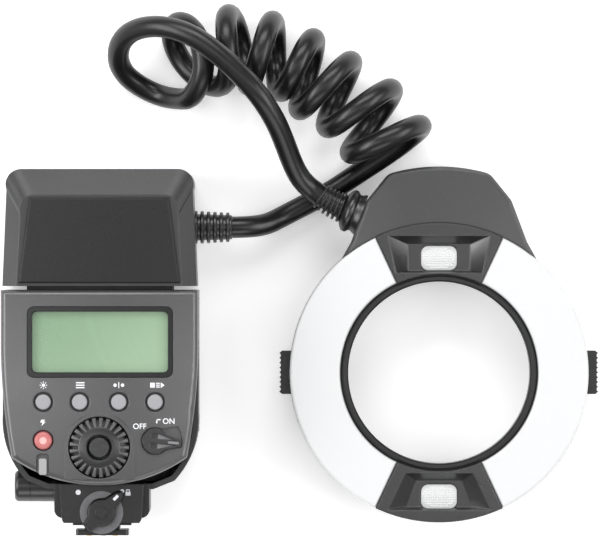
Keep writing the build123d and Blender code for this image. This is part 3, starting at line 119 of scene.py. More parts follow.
def between_turns(column, turn):
    """A smooth value between the rows, so that the coil has no kink at a row."""
    values = [row[column] for row in COIL_ROWS]
    index = min(int(turn), len(values) - 2)
    t = turn - index
    before = values[index - 1] if index > 0 else 2 * values[0] - values[1]
    after = values[index + 2] if index + 2 < len(values) else 2 * values[-1] - values[-2]
    start, end = values[index], values[index + 1]
    first, last = (end - before) / 2, (after - start) / 2
    rise = end - start
    return start + first * t + (3 * rise - 2 * first - last) * t ** 2 \
        + (first + last - 2 * rise) * t ** 3


def coil_point(turn):
    x, y, heading, tilt, radius = [between_turns(column, turn) for column in range(5)]
    heading, tilt, angle = radians(heading), radians(tilt), 2 * pi * turn
    side = Vector((-sin(heading), cos(heading), 0))
    front = Vector((-sin(tilt) * cos(heading), -sin(tilt) * sin(heading), cos(tilt)))
    centre = Vector((x, y, CORD_RADIUS + COIL_LIFT + radius * cos(tilt)))
    return centre + side * (radius * sin(angle)) + front * (radius * cos(angle))


def coil_points():
    count = round((LAST_TURN - FIRST_TURN) * POINTS_PER_TURN)
    span = (LAST_TURN - FIRST_TURN) / count
    return [coil_point(LAST_TURN - span * index) for index in range(count + 1)]


cord_points = UNIT_EXIT + UNIT_STRETCH + coil_points() + LOOP_FOOT + RING_STRETCH + RING_EXIT
print("cord points", len(cord_points))

# %% [markdown]
# ## The cord itself
#
# A curve with a round bevel gives a tube of even thickness that never twists or pinches. Its
# spline takes the points as control points, so the tube runs smoothly past them. The bevel
# has a radius of one metre, and each point scales it down to the radius of the cord.


def cord_piece():
    curve = bpy.data.curves.new("curly_cord", "CURVE")
    curve.dimensions = "3D"
    spline = curve.splines.new("NURBS")
    spline.points.add(len(cord_points) - 1)
    for point, place in zip(spline.points, cord_points):
        point.co = (*[value * MM for value in place], 1)
        point.radius = CORD_RADIUS * MM
    spline.order_u = 3
    spline.use_endpoint_u = True
    spline.resolution_u = 6
    curve.bevel_depth = 1.0
    curve.bevel_resolution = 6
    curve.use_fill_caps = True
    piece = bpy.data.objects.new("curly_cord", curve)
    bpy.context.scene.collection.objects.link(piece)
    return piece


cord = cord_piece()
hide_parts("cord_to_unit", "cord_coil", "cord_to_ring")
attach(cord, "housing")

# %% [markdown]
# ## Effects that materials share
#
# Moulded plastic isn't smooth. Its tool was spark eroded, which leaves a fine even grain, and
# handling leaves faint smears that change how it shines. Wide faces are also crowned a little,
# so that they don't sink when they cool. Several materials need these effects, so each is a
# node group with its own inputs, built once.

# %% Node groups


def new_group(name, inputs, outputs):
    group = bpy.data.node_groups.new(name, "ShaderNodeTree")
    for label, kind, value in inputs:
        socket = group.interface.new_socket(label, in_out="INPUT", socket_type=kind)
        if value is not None:
            socket.default_value = value
    for label, kind in outputs:
        group.interface.new_socket(label, in_out="OUTPUT", socket_type=kind)
    return group, group.nodes.new("NodeGroupInput"), group.nodes.new("NodeGroupOutput")


def add_node(tree, kind, **settings):
    """A new node. A leading underscore marks a property of the node, the rest are inputs."""
    node = tree.nodes.new(kind)
    for key, value in settings.items():
        if key[0] == "_":
            setattr(node, key[1:], value)
        else:
            node.inputs[key.replace("_", " ")].default_value = value
    return node


def moulded_grain():
    """Height of a fine pebbled grain."""
    group, source, sink = new_group(
        "moulded_grain", [("Scale", "NodeSocketFloat", 2500.0)],
        [("Height", "NodeSocketFloat")])
    place = add_node(group, "ShaderNodeTexCoord")
    fine = add_node(group, "ShaderNodeTexNoise", Detail=3.0, Roughness=0.6)
    cells = add_node(group, "ShaderNodeTexVoronoi", _feature="SMOOTH_F1")
    mix = add_node(group, "ShaderNodeMath", _operation="MULTIPLY_ADD")
    mix.inputs[1].default_value = 0.5
    link = group.links.new
    for texture in (fine, cells):
        link(place.outputs["Object"], texture.inputs["Vector"])
        link(source.outputs["Scale"], texture.inputs["Scale"])
    link(fine.outputs["Fac"], mix.inputs[0])
    link(cells.outputs["Distance"], mix.inputs[2])
    link(mix.outputs[0], sink.inputs["Height"])
    return group


def handled_finish():
    """Colour and roughness of a surface with faint smears and lighter scuffed specks."""
    group, source, sink = new_group(
        "handled_finish",
        [("Color", "NodeSocketColor", (0.03, 0.03, 0.032, 1)),
         ("Scuffed", "NodeSocketColor", (0.06, 0.06, 0.062, 1)),
         ("Low Roughness", "NodeSocketFloat", 0.4),
         ("High Roughness", "NodeSocketFloat", 0.55),
         ("Smear Scale", "NodeSocketFloat", 60.0)],
        [("Color", "NodeSocketColor"), ("Roughness", "NodeSocketFloat")])
    place = add_node(group, "ShaderNodeTexCoord")
    smear = add_node(group, "ShaderNodeTexNoise", Detail=4.0, Roughness=0.55, Distortion=0.6)
    speck = add_node(group, "ShaderNodeTexNoise", Scale=1400.0, Detail=2.0)
    speck_mask = add_node(group, "ShaderNodeMapRange")
    speck_mask.inputs["From Min"].default_value = 0.55
    speck_mask.inputs["From Max"].default_value = 0.95
    tint = add_node(group, "ShaderNodeMix", _data_type="RGBA")
    rough = add_node(group, "ShaderNodeMapRange")
    rough.inputs["From Min"].default_value = 0.3
    rough.inputs["From Max"].default_value = 0.7
    link = group.links.new
    link(place.outputs["Object"], smear.inputs["Vector"])
    link(place.outputs["Object"], speck.inputs["Vector"])
    link(source.outputs["Smear Scale"], smear.inputs["Scale"])
    link(speck.outputs["Fac"], speck_mask.inputs["Value"])
    link(speck_mask.outputs["Result"], tint.inputs[0])
    link(source.outputs["Color"], tint.inputs[6])
    link(source.outputs["Scuffed"], tint.inputs[7])
    link(smear.outputs["Fac"], rough.inputs["Value"])
    link(source.outputs["Low Roughness"], rough.inputs["To Min"])
    link(source.outputs["High Roughness"], rough.inputs["To Max"])
    link(tint.outputs[2], sink.inputs["Color"])
    link(rough.outputs["Result"], sink.inputs["Roughness"])
    return group


def crowned_face():
    """Height of a face that falls away a little from its centre, as moulded faces do."""
    group, source, sink = new_group(
        "crowned_face",
        [("Centre", "NodeSocketVector", None), ("Fall", "NodeSocketFloat", 1.5)],
        [("Height", "NodeSocketFloat")])
    place = add_node(group, "ShaderNodeTexCoord")
    away = add_node(group, "ShaderNodeVectorMath", _operation="SUBTRACT")
    flat = add_node(group, "ShaderNodeVectorMath", _operation="MULTIPLY")
    flat.inputs[1].default_value = (1, 0.7, 0)
    square = add_node(group, "ShaderNodeVectorMath", _operation="DOT_PRODUCT")
    fall = add_node(group, "ShaderNodeMath", _operation="MULTIPLY")
    drop = add_node(group, "ShaderNodeMath", _operation="MULTIPLY")
    drop.inputs[1].default_value = -1.0
    link = group.links.new
    link(place.outputs["Object"], away.inputs[0])
    link(source.outputs["Centre"], away.inputs[1])
    link(away.outputs["Vector"], flat.inputs[0])
    link(flat.outputs["Vector"], square.inputs[0])
    link(flat.outputs["Vector"], square.inputs[1])
    link(square.outputs["Value"], fall.inputs[0])
    link(source.outputs["Fall"], fall.inputs[1])
    link(fall.outputs[0], drop.inputs[0])
    link(drop.outputs[0], sink.inputs["Height"])
    return group


CROWN = crowned_face()
GRAIN = moulded_grain()
HANDLED = handled_finish()

# %% [markdown]
# ## Plastics, rubber and metal
#
# The housing is black plastic with a fine grain, which looks mid grey where it mirrors the
# soft light above it. The same recipe with other colours, gloss and grain also makes the
# rubber cord, the keys and the metals. Moulded edges are never knife sharp, so the recipe
# rounds the shading at each edge, which draws the thin bright line that the photograph shows.

# %% Recipe for moulded and ground finishes


def finish_of(name, color, scuffed, rough, grain_scale, grain_depth, edge=0.25, metal=0.0,
              coat=0.0, smear=60.0, specular=0.5, crown=None):
    """A moulded or ground surface. The grain's depth and the radius of the rounded edges are
    in millimetres, and crown is the centre of a crowned face and how fast it falls away."""
    material = bpy.data.materials.new(name)
    material.use_nodes = True
    tree = material.node_tree
    shader = tree.nodes["Principled BSDF"]
    shader.inputs["Metallic"].default_value = metal
    shader.inputs["Coat Weight"].default_value = coat
    shader.inputs["Coat Roughness"].default_value = 0.12
    shader.inputs["Specular IOR Level"].default_value = specular
    handled = add_node(tree, "ShaderNodeGroup", _node_tree=HANDLED)
    for label, value in (
            ("Color", (*color, 1)), ("Scuffed", (*scuffed, 1)), ("Low Roughness", rough[0]),
            ("High Roughness", rough[1]), ("Smear Scale", smear)):
        handled.inputs[label].default_value = value
    grain = add_node(tree, "ShaderNodeGroup", _node_tree=GRAIN)
    grain.inputs["Scale"].default_value = grain_scale
    bump = add_node(tree, "ShaderNodeBump", Strength=1.0, Distance=grain_depth * MM)
    link = tree.links.new
    if edge:
        rounded = add_node(tree, "ShaderNodeBevel", Radius=edge * MM, _samples=4)
        link(rounded.outputs["Normal"], bump.inputs["Normal"])
    if crown:
        crowned = add_node(tree, "ShaderNodeGroup", _node_tree=CROWN)
        crowned.inputs["Centre"].default_value = [value * MM for value in crown[:3]]
        crowned.inputs["Fall"].default_value = crown[3]
        dome = add_node(tree, "ShaderNodeBump", Strength=1.0, Distance=1.0)
        link(crowned.outputs["Height"], dome.inputs["Height"])
        if edge:
            link(rounded.outputs["Normal"], dome.inputs["Normal"])
        link(dome.outputs["Normal"], bump.inputs["Normal"])
    link(handled.outputs["Color"], shader.inputs["Base Color"])
    link(handled.outputs["Roughness"], shader.inputs["Roughness"])
    link(grain.outputs["Height"], bump.inputs["Height"])
    link(bump.outputs["Normal"], shader.inputs["Normal"])
    return material


def grey(value, warm=0.0):
    """A grey that leans a little to blue, or to red where it is warm."""
    return (value * (1 + warm), value, value * (1.04 - warm))


shell_plastic = finish_of(
    "shell_plastic", grey(0.012), grey(0.03), (0.34, 0.46), 2200, 0.009, edge=0.45,
    specular=0.9)
# The face is the shell's black plastic; its lighter grey is painted sheen, added to the crowned
# face that mirrors the lights.
face_plastic_painted_sheen = finish_of(
    "face_plastic_painted_sheen", grey(0.05), grey(0.075), (0.28, 0.36), 2000, 0.009, edge=0.5, specular=1.0,
    crown=(-70.85, -18.0, 0.0, 2.2))
hump_plastic = finish_of(
    "hump_plastic", grey(0.025), grey(0.045), (0.3, 0.4), 2000, 0.008, edge=0.9, specular=1.0,
    crown=(48.75, 32.0, 0.0, 1.6))
saddle_plastic = finish_of(
    "saddle_plastic", grey(0.010), grey(0.025), (0.26, 0.36), 2200, 0.006, edge=0.8,
    specular=1.0, coat=0.2)
panel_plastic = finish_of(
    "panel_plastic", grey(0.010), grey(0.025), (0.36, 0.46), 1500, 0.014, edge=0.5, specular=0.4,
    crown=(-70.85, 47.0, 0.0, 1.4))
bezel_plastic = finish_of("bezel_plastic", grey(0.008), grey(0.02), (0.18, 0.26), 3000, 0.002)
rim_plastic = finish_of("rim_plastic", grey(0.012), grey(0.03), (0.3, 0.4), 2400, 0.006)
foot_plastic = finish_of(
    "foot_plastic", grey(0.006), grey(0.02), (0.26, 0.36), 2200, 0.008, edge=0.45, specular=0.6)
dial_plastic = finish_of(
    "dial_plastic", grey(0.014), grey(0.04), (0.24, 0.34), 2600, 0.004, specular=0.8)
# Light grey plates that paint the highlight in the switch's pockets and on its index line.
switch_painted_highlight = finish_of(
    "switch_painted_highlight", grey(0.2), grey(0.28), (0.3, 0.4), 2600, 0.004, edge=0)
# The teeth are the dial's black plastic; their lighter grey is a painted highlight.
dial_teeth_painted_highlight = finish_of(
    "dial_teeth_painted_highlight", grey(0.07), grey(0.12), (0.24, 0.34), 2600, 0.004, edge=0.15, specular=0.9)
switch_plastic = finish_of(
    "switch_plastic", grey(0.012), grey(0.04), (0.22, 0.32), 2600, 0.004, edge=0.4, specular=0.8)
tray_plastic = finish_of("tray_plastic", grey(0.008), grey(0.02), (0.5, 0.6), 1800, 0.01)
key_rubber = finish_of("key_rubber", grey(0.3), grey(0.36), (0.5, 0.62), 2600, 0.008)
relief_rubber = finish_of(
    "relief_rubber", grey(0.008), grey(0.02), (0.28, 0.4), 1600, 0.01, specular=0.8)
cord_rubber = finish_of(
    "cord_rubber", grey(0.005), grey(0.015), (0.28, 0.38), 1200, 0.008, edge=0, smear=90)
steel = finish_of("steel", grey(0.62), grey(0.5), (0.22, 0.36), 1800, 0.003, metal=1.0)
dark_steel = finish_of(
    "dark_steel", grey(0.2), grey(0.32), (0.3, 0.45), 900, 0.006, metal=1.0, smear=25)
brass = finish_of("brass", (0.78, 0.58, 0.25), (0.6, 0.42, 0.18), (0.2, 0.34), 1800, 0.003,
                  metal=1.0)
print("finishes", len(bpy.data.materials))

# %% [markdown]
# ## Boards and pieces inside
#
# The cells show when the battery door opens, and the focus lamps show faintly behind their
# windows. The boards and the capacitor stay hidden, but they get their own finishes too. A
# solder mask is a glossy green varnish, so it has a coat and a colour that isn't quite even.

# %% Finishes of the inner pieces
solder_mask = finish_of(
    "solder_mask", (0.008, 0.09, 0.035), (0.03, 0.16, 0.07), (0.2, 0.32), 900, 0.004, coat=0.4)
component_case = finish_of("component_case", grey(0.05), grey(0.09), (0.4, 0.5), 1800, 0.006)
cell_sleeve = finish_of(
    "cell_sleeve", (0.42, 0.27, 0.07), (0.5, 0.36, 0.14), (0.2, 0.3), 700, 0.002, metal=0.6)
can_sleeve = finish_of(
    "can_sleeve", (0.012, 0.018, 0.07), (0.03, 0.04, 0.11), (0.18, 0.3), 800, 0.003, coat=0.3)
ferrite = finish_of("ferrite", grey(0.04, 0.05), grey(0.1), (0.5, 0.7), 1200, 0.02)
mirror_sheet = finish_of(
    "mirror_sheet", grey(0.9), grey(0.85), (0.06, 0.12), 1500, 0.001, metal=1.0, edge=0)
led_dome = finish_of(
    "led_dome", (0.85, 0.82, 0.55), (0.9, 0.88, 0.7), (0.1, 0.18), 2500, 0.001, coat=0.5)

# %% [markdown]
# ## Display, lamps and diffusers
#
# The display is off, so it is the plain grey green of its cells, with a diagonal ramp that
# makes it a little lighter towards one corner. Its window is a nearly clear sheet, made with a
# low alpha so that light reaches the cells. The two diffusers are milky plastic, which scatters
# light inside, so they look white all over.

# %% Finishes that light passes


def display_cells():
    material = bpy.data.materials.new("display_cells")
    material.use_nodes = True
    tree = material.node_tree
    shader = tree.nodes["Principled BSDF"]
    shader.inputs["Roughness"].default_value = 0.5
    place = add_node(tree, "ShaderNodeTexCoord")
    turn = add_node(tree, "ShaderNodeMapping")
    turn.inputs["Location"].default_value = (0.0706, -0.0036, 0)
    lean = add_node(tree, "ShaderNodeVectorMath", _operation="DOT_PRODUCT")
    lean.inputs[1].default_value = (14.0, -18.0, 0)
    cloud = add_node(tree, "ShaderNodeTexNoise", Scale=30.0, Detail=1.0)
    total = add_node(tree, "ShaderNodeMath", _operation="MULTIPLY_ADD")
    total.inputs[1].default_value = 0.25
    ramp = add_node(tree, "ShaderNodeValToRGB")
    ramp.color_ramp.elements[0].position = 0.0
    ramp.color_ramp.elements[0].color = (0.23, 0.38, 0.225, 1)
    ramp.color_ramp.elements[1].position = 1.0
    ramp.color_ramp.elements[1].color = (0.38, 0.54, 0.36, 1)
    lift = add_node(tree, "ShaderNodeMath", _operation="ADD")
    lift.inputs[1].default_value = 0.38
    link = tree.links.new
    link(place.outputs["Object"], turn.inputs["Vector"])
    link(turn.outputs["Vector"], lean.inputs[0])
    link(place.outputs["Object"], cloud.inputs["Vector"])
    link(cloud.outputs["Fac"], total.inputs[0])
    link(lean.outputs["Value"], total.inputs[2])
    link(total.outputs[0], lift.inputs[0])
    link(lift.outputs[0], ramp.inputs["Fac"])
    link(ramp.outputs["Color"], shader.inputs["Base Color"])
    return material


def clear_plastic(name, color, rough, grain_scale, grain_depth):
    material = bpy.data.materials.new(name)
    material.use_nodes = True
    tree = material.node_tree
    shader = tree.nodes["Principled BSDF"]
    shader.inputs["Base Color"].default_value = (*color, 1)
    shader.inputs["Transmission Weight"].default_value = 1.0
    shader.inputs["IOR"].default_value = 1.45
    shader.inputs["Roughness"].default_value = rough
    grain = add_node(tree, "ShaderNodeGroup", _node_tree=GRAIN)
    grain.inputs["Scale"].default_value = grain_scale
    bump = add_node(tree, "ShaderNodeBump", Strength=1.0, Distance=grain_depth * MM)
    tree.links.new(grain.outputs["Height"], bump.inputs["Height"])
    tree.links.new(bump.outputs["Normal"], shader.inputs["Normal"])
    return material


def thin_pane(name, color, alpha, rough):
    """A clear sheet that lets the light through to what lies under it."""
    material = bpy.data.materials.new(name)
    material.use_nodes = True
    tree = material.node_tree
    shader = tree.nodes["Principled BSDF"]
    shader.inputs["Base Color"].default_value = (*color, 1)
    shader.inputs["Alpha"].default_value = alpha
    smear = add_node(tree, "ShaderNodeTexNoise", Scale=50.0, Detail=3.0)
    place = add_node(tree, "ShaderNodeTexCoord")
    span = add_node(tree, "ShaderNodeMapRange")
    span.inputs["To Min"].default_value = rough
    span.inputs["To Max"].default_value = rough * 2.5
    tree.links.new(place.outputs["Object"], smear.inputs["Vector"])
    tree.links.new(smear.outputs["Fac"], span.inputs["Value"])
    tree.links.new(span.outputs["Result"], shader.inputs["Roughness"])
    return material


def milky_plastic(name, color, scatter, glow):
    material = bpy.data.materials.new(name)
    material.use_nodes = True
    tree = material.node_tree
    shader = tree.nodes["Principled BSDF"]
    shader.inputs["Subsurface Weight"].default_value = scatter
    shader.inputs["Subsurface Radius"].default_value = (0.003, 0.003, 0.003)
    shader.inputs["Emission Color"].default_value = (*color, 1)
    shader.inputs["Emission Strength"].default_value = glow
    handled = add_node(tree, "ShaderNodeGroup", _node_tree=HANDLED)
    pale = [min(1.0, value * 1.06) for value in color]
    for label, value in (
            ("Color", (*color, 1)), ("Scuffed", (*pale, 1)), ("Low Roughness", 0.28),
            ("High Roughness", 0.4), ("Smear Scale", 40.0)):
        handled.inputs[label].default_value = value
    grain = add_node(tree, "ShaderNodeGroup", _node_tree=GRAIN)
    bump = add_node(tree, "ShaderNodeBump", Strength=0.5, Distance=0.01 * MM)
    link = tree.links.new
    link(handled.outputs["Color"], shader.inputs["Base Color"])
    link(handled.outputs["Roughness"], shader.inputs["Roughness"])
    link(grain.outputs["Height"], bump.inputs["Height"])
    link(bump.outputs["Normal"], shader.inputs["Normal"])
    return material


lcd_cells = display_cells()
window_pane = thin_pane("window_pane", (0.3, 0.36, 0.3), 0.14, 0.03)
lamp_lens = thin_pane("lamp_lens", (0.72, 0.73, 0.73), 0.75, 0.08)
tube_glass = clear_plastic("tube_glass", (0.97, 0.98, 1.0), 0.02, 800, 0.0005)
diffuser_milk = milky_plastic("diffuser_milk", (0.66, 0.665, 0.67), 0.2, 0.0)
lamp_milk = milky_plastic("lamp_milk", (0.33, 0.33, 0.33), 0.2, 0.0)
pilot_pale = milky_plastic("pilot_pale", (0.80, 0.42, 0.40), 0.2, 0.05)
pilot_red = milky_plastic("pilot_red", (0.50, 0.16, 0.16), 0.3, 0.05)

# %% [markdown]
# ## Printed marks
#
# The marks are screen printed, a film of white ink less than a tenth of a millimetre thick.
# Thin flat shapes on the surface stand for it, since a picture can't be used. Ink is matt and
# never quite even, which the finish shows.

# %% Ink
ink = finish_of("ink", grey(0.8), grey(0.72), (0.5, 0.6), 2600, 0.004, edge=0)
print("materials", len(bpy.data.materials))

# %% [markdown]
# ## Dressing the solids
#
# Each solid of the frame keeps its shape and gets the finish that it has on the real object.

# %% Give every node its finish
DRESS = {
    shell_plastic: "front_housing head_housing head_cover battery_door rear_cover",
    face_plastic_painted_sheen: "rear_housing",
    hump_plastic: "hump_cover",
    saddle_plastic: "ring_frame",
    panel_plastic: "head_panel",
    bezel_plastic: "display_bezel",
    window_pane: "display_window",
    lcd_cells: "display_module",
    tray_plastic: "head_neck battery_holder left_latch_plate right_latch_plate",
    solder_mask: "main_board head_board ring_board",
    component_case: "board_switches",
    pilot_red: "pilot_button",
    lamp_milk: "confirm_lamp",
    dial_plastic: "select_dial set_button",
    switch_plastic: "power_switch",
    cell_sleeve: "battery_cells",
    brass: "battery_contacts shoe_contacts",
    steel: "hinge_rod lock_pin case_screws left_latch_spring right_latch_spring",
    dark_steel: "lock_washer",
    can_sleeve: "flash_capacitor",
    ferrite: "charge_transformer",
    foot_plastic: "foot_block shoe_foot lock_lever left_release_button right_release_button",
    relief_rubber: "socket_barrel socket_cap unit_relief ring_relief",
    rim_plastic: "inner_rim",
    diffuser_milk: "left_diffuser right_diffuser",
    lamp_lens: "lamp_windows",
    led_dome: "focus_lamps",
    tube_glass: "flash_tubes",
    mirror_sheet: "reflectors",
    cord_rubber: "cord_to_unit cord_to_ring cord_coil",
    key_rubber: "backlight_button mode_button ratio_button lamp_button",
}
dressed = set()
for material, names in DRESS.items():
    for name in names.split():
        nodes[name].data.materials.clear()
        nodes[name].data.materials.append(material)
        dressed.add(name)
cord.data.materials.append(cord_rubber)
print("not dressed", sorted(set(nodes) - dressed))

# %% [markdown]
# ## Pieces that repeat
#
# Teeth, ribs and prisms repeat one small shape. Geometry Nodes copy it around an axis, along
# a line or over a grid, with the count and the spacing as inputs, so one tree serves several
# pieces. The copies are made real at the end of each tree, because the export needs them so.

# %% Helpers for meshes
DISC_STEPS = 24


def mesh_piece(name, mesh, material):
    piece = bpy.data.objects.new(name, mesh)
    bpy.context.scene.collection.objects.link(piece)
    mesh.materials.clear()
    mesh.materials.append(material)
    return piece


def lathe(profile, steps=64):
    """A closed solid of revolution round Z, from (radius, height) pairs from foot to top."""
    shape = bmesh.new()
    rings = []
    for radius, height in profile:
        if radius <= 0:
            rings.append([shape.verts.new((0, 0, height * MM))])
            continue
        rings.append([
            shape.verts.new((
                radius * MM * cos(2 * pi * k / steps), radius * MM * sin(2 * pi * k / steps),
                height * MM))
            for k in range(steps)])
    closed = profile[0][0] > 0
    for low, high in zip(rings, rings[1:] + (rings[:1] if closed else [])):
        for k in range(steps):
            j = (k + 1) % steps
            corners = [low[k % len(low)], low[j % len(low)],
                       high[j % len(high)], high[k % len(high)]]
            corners = [c for i, c in enumerate(corners) if c not in corners[:i]]
            if len(corners) > 2:
                shape.faces.new(corners)
    return finish_mesh(shape)


def finish_mesh(shape, smooth_deg=35):
    bmesh.ops.remove_doubles(shape, verts=shape.verts, dist=1e-7)
    bmesh.ops.recalc_face_normals(shape, faces=shape.faces)
    for face in shape.faces:
        face.smooth = True
    for edge in shape.edges:
        if len(edge.link_faces) == 2 and edge.calc_face_angle(0) > radians(smooth_deg):
            edge.smooth = False
    mesh = bpy.data.meshes.new("made")
    shape.to_mesh(mesh)
    shape.free()
    return mesh


def slab(outline, low, high, bevel=0.0):
    """A flat plate between two heights, from its outline in millimetres."""
    shape = bmesh.new()
    face = shape.faces.new([shape.verts.new((x * MM, y * MM, low * MM)) for x, y in outline])
    top = bmesh.ops.extrude_face_region(shape, geom=[face])["geom"]
    for vertex in top:
        if isinstance(vertex, bmesh.types.BMVert):
            vertex.co.z = high * MM
    if bevel:
        bmesh.ops.bevel(
            shape, geom=list(shape.edges), offset=bevel * MM, segments=2, profile=0.6,
            affect="EDGES")
    return finish_mesh(shape)


def joined(meshes):
    shape = bmesh.new()
    for mesh in meshes:
        shape.from_mesh(mesh)
    mesh = bpy.data.meshes.new("joined")
    shape.to_mesh(mesh)
    shape.free()
    return mesh


def placed(mesh, place, heading_deg=None):
    """Moves a mesh from the origin. A heading lays its Z axis flat in that direction."""
    matrix = Matrix.Translation(place)
    if heading_deg is not None:
        matrix = matrix @ Matrix.Rotation(radians(heading_deg), 4, "Z") \
            @ Matrix.Rotation(pi / 2, 4, "Y")
    mesh.transform(matrix)
    mesh.update()
    return mesh


def disc_outline(x, y, radius):
    angles = [2 * pi * k / DISC_STEPS for k in range(DISC_STEPS)]
    return [(x + radius * cos(angle), y + radius * sin(angle)) for angle in angles]


# %% [markdown]
# ## Trees
#
# Each tree takes one small mesh as its geometry input. The ring tree turns the copies about
# Z, the line tree steps along Z and can shrink them, as the ribs of a tapered relief do, and
# the grid tree keeps only the copies inside a rounded outline.

# %% Geometry Nodes trees
# A copy of the grid is kept while the cubes of its two shares of the half size add up to less.
CORNER_LIMIT = 1.25


def start_tree(name, sizes):
    tree = bpy.data.node_groups.new(name, "GeometryNodeTree")
    tree.interface.new_socket(
        "Geometry", in_out="INPUT", socket_type="NodeSocketGeometry")
    for label, kind in sizes + [("Material", "NodeSocketMaterial")]:
        tree.interface.new_socket(label, in_out="INPUT", socket_type=kind)
    tree.interface.new_socket(
        "Geometry", in_out="OUTPUT", socket_type="NodeSocketGeometry")
    return tree, tree.nodes.new("NodeGroupInput"), tree.nodes.new("NodeGroupOutput")


def end_tree(tree, source, sink, copies):
    real = tree.nodes.new("GeometryNodeRealizeInstances")
    dress = tree.nodes.new("GeometryNodeSetMaterial")
    tree.links.new(copies.outputs["Instances"], real.inputs["Geometry"])
    tree.links.new(real.outputs["Geometry"], dress.inputs["Geometry"])
    tree.links.new(source.outputs["Material"], dress.inputs["Material"])
    tree.links.new(dress.outputs["Geometry"], sink.inputs["Geometry"])
    return tree


def node_math(tree, operation, *values):
    node = tree.nodes.new("ShaderNodeMath")
    node.operation = operation
    for socket, value in zip(node.inputs, values):
        if isinstance(value, (int, float)):
            socket.default_value = value
        else:
            tree.links.new(value, socket)
    return node.outputs[0]


def ring_tree():
    tree, source, sink = start_tree("copies_round_an_axis", [("Count", "NodeSocketInt")])
    points = tree.nodes.new("GeometryNodePoints")
    copies = tree.nodes.new("GeometryNodeInstanceOnPoints")
    turn = tree.nodes.new("ShaderNodeCombineXYZ")
    index = tree.nodes.new("GeometryNodeInputIndex").outputs[0]
    step = node_math(tree, "DIVIDE", 2 * pi, source.outputs["Count"])
    link = tree.links.new
    link(source.outputs["Count"], points.inputs["Count"])
    link(points.outputs[0], copies.inputs["Points"])
    link(source.outputs["Geometry"], copies.inputs["Instance"])
    link(node_math(tree, "MULTIPLY", index, step), turn.inputs["Z"])
    link(turn.outputs[0], copies.inputs["Rotation"])
    return end_tree(tree, source, sink, copies)


def line_tree():
    tree, source, sink = start_tree(
        "copies_along_a_line",
        [("Count", "NodeSocketInt"), ("Step", "NodeSocketFloat"),
         ("Shrink", "NodeSocketFloat")])
    line = tree.nodes.new("GeometryNodeMeshLine")
    step = tree.nodes.new("ShaderNodeCombineXYZ")
    copies = tree.nodes.new("GeometryNodeInstanceOnPoints")
    size = tree.nodes.new("ShaderNodeCombineXYZ")
    index = tree.nodes.new("GeometryNodeInputIndex").outputs[0]
    lost = node_math(tree, "MULTIPLY", index, source.outputs["Shrink"])
    kept = node_math(tree, "SUBTRACT", 1.0, lost)
    size.inputs["Z"].default_value = 1.0
    link = tree.links.new
    link(source.outputs["Count"], line.inputs["Count"])
    link(source.outputs["Step"], step.inputs["Z"])
    link(step.outputs[0], line.inputs["Offset"])
    link(line.outputs[0], copies.inputs["Points"])
    link(source.outputs["Geometry"], copies.inputs["Instance"])
    link(kept, size.inputs["X"])
    link(kept, size.inputs["Y"])
    link(size.outputs[0], copies.inputs["Scale"])
    return end_tree(tree, source, sink, copies)


def grid_tree():
    tree, source, sink = start_tree(
        "copies_over_a_grid",
        [("Half Width", "NodeSocketFloat"), ("Half Height", "NodeSocketFloat"),
         ("Columns", "NodeSocketInt"), ("Rows", "NodeSocketInt")])
    grid = tree.nodes.new("GeometryNodeMeshGrid")
    copies = tree.nodes.new("GeometryNodeInstanceOnPoints")
    split = tree.nodes.new("ShaderNodeSeparateXYZ")
    link = tree.links.new
    link(tree.nodes.new("GeometryNodeInputPosition").outputs[0], split.inputs[0])
    cubes = []
    for axis, half in (("X", "Half Width"), ("Y", "Half Height")):
        link(node_math(tree, "MULTIPLY", source.outputs[half], 2.0),
             grid.inputs["Size " + axis])
        share = node_math(tree, "DIVIDE", split.outputs[axis], source.outputs[half])
        cubes.append(node_math(tree, "POWER", node_math(tree, "ABSOLUTE", share), 3.0))
    link(source.outputs["Columns"], grid.inputs["Vertices X"])
    link(source.outputs["Rows"], grid.inputs["Vertices Y"])
    link(grid.outputs["Mesh"], copies.inputs["Points"])
    link(source.outputs["Geometry"], copies.inputs["Instance"])
    total = node_math(tree, "ADD", *cubes)
    link(node_math(tree, "LESS_THAN", total, CORNER_LIMIT), copies.inputs["Selection"])
    return end_tree(tree, source, sink, copies)


ROUND, ALONG, OVER = ring_tree(), line_tree(), grid_tree()


def repeated(mesh, tree, material, **sizes):
    """Runs a tree on one small mesh and gives the plain mesh that comes out."""
    piece = mesh_piece("element", mesh, material)
    modifier = piece.modifiers.new("copies", "NODES")
    modifier.node_group = tree
    labels = {item.name: item.identifier for item in tree.interface.items_tree
              if item.in_out == "INPUT"}
    modifier[labels["Material"]] = material
    for label, value in sizes.items():
        modifier[labels[label.replace("_", " ")]] = value
    graph = bpy.context.evaluated_depsgraph_get()
    result = bpy.data.meshes.new_from_object(piece.evaluated_get(graph))
    piece.modifiers.clear()
    bpy.data.objects.remove(piece)
    return result


# %% [markdown]
# ## Select dial
#
# The dial is a disc with a crown of 25 teeth that slope down to its rim. Each tooth is a
# short wedge with softened edges, because those edges catch the light all round the dial. The
# teeth get a lighter grey than the dial, a painted highlight on the same black plastic. One
# tooth is modelled and the ring tree makes the others.

# %% Dial
DIAL = UNIT + Vector((0.05, 32.15, 0)) * MM
DIAL_TEETH = 25
DIAL_TOP = 57.9


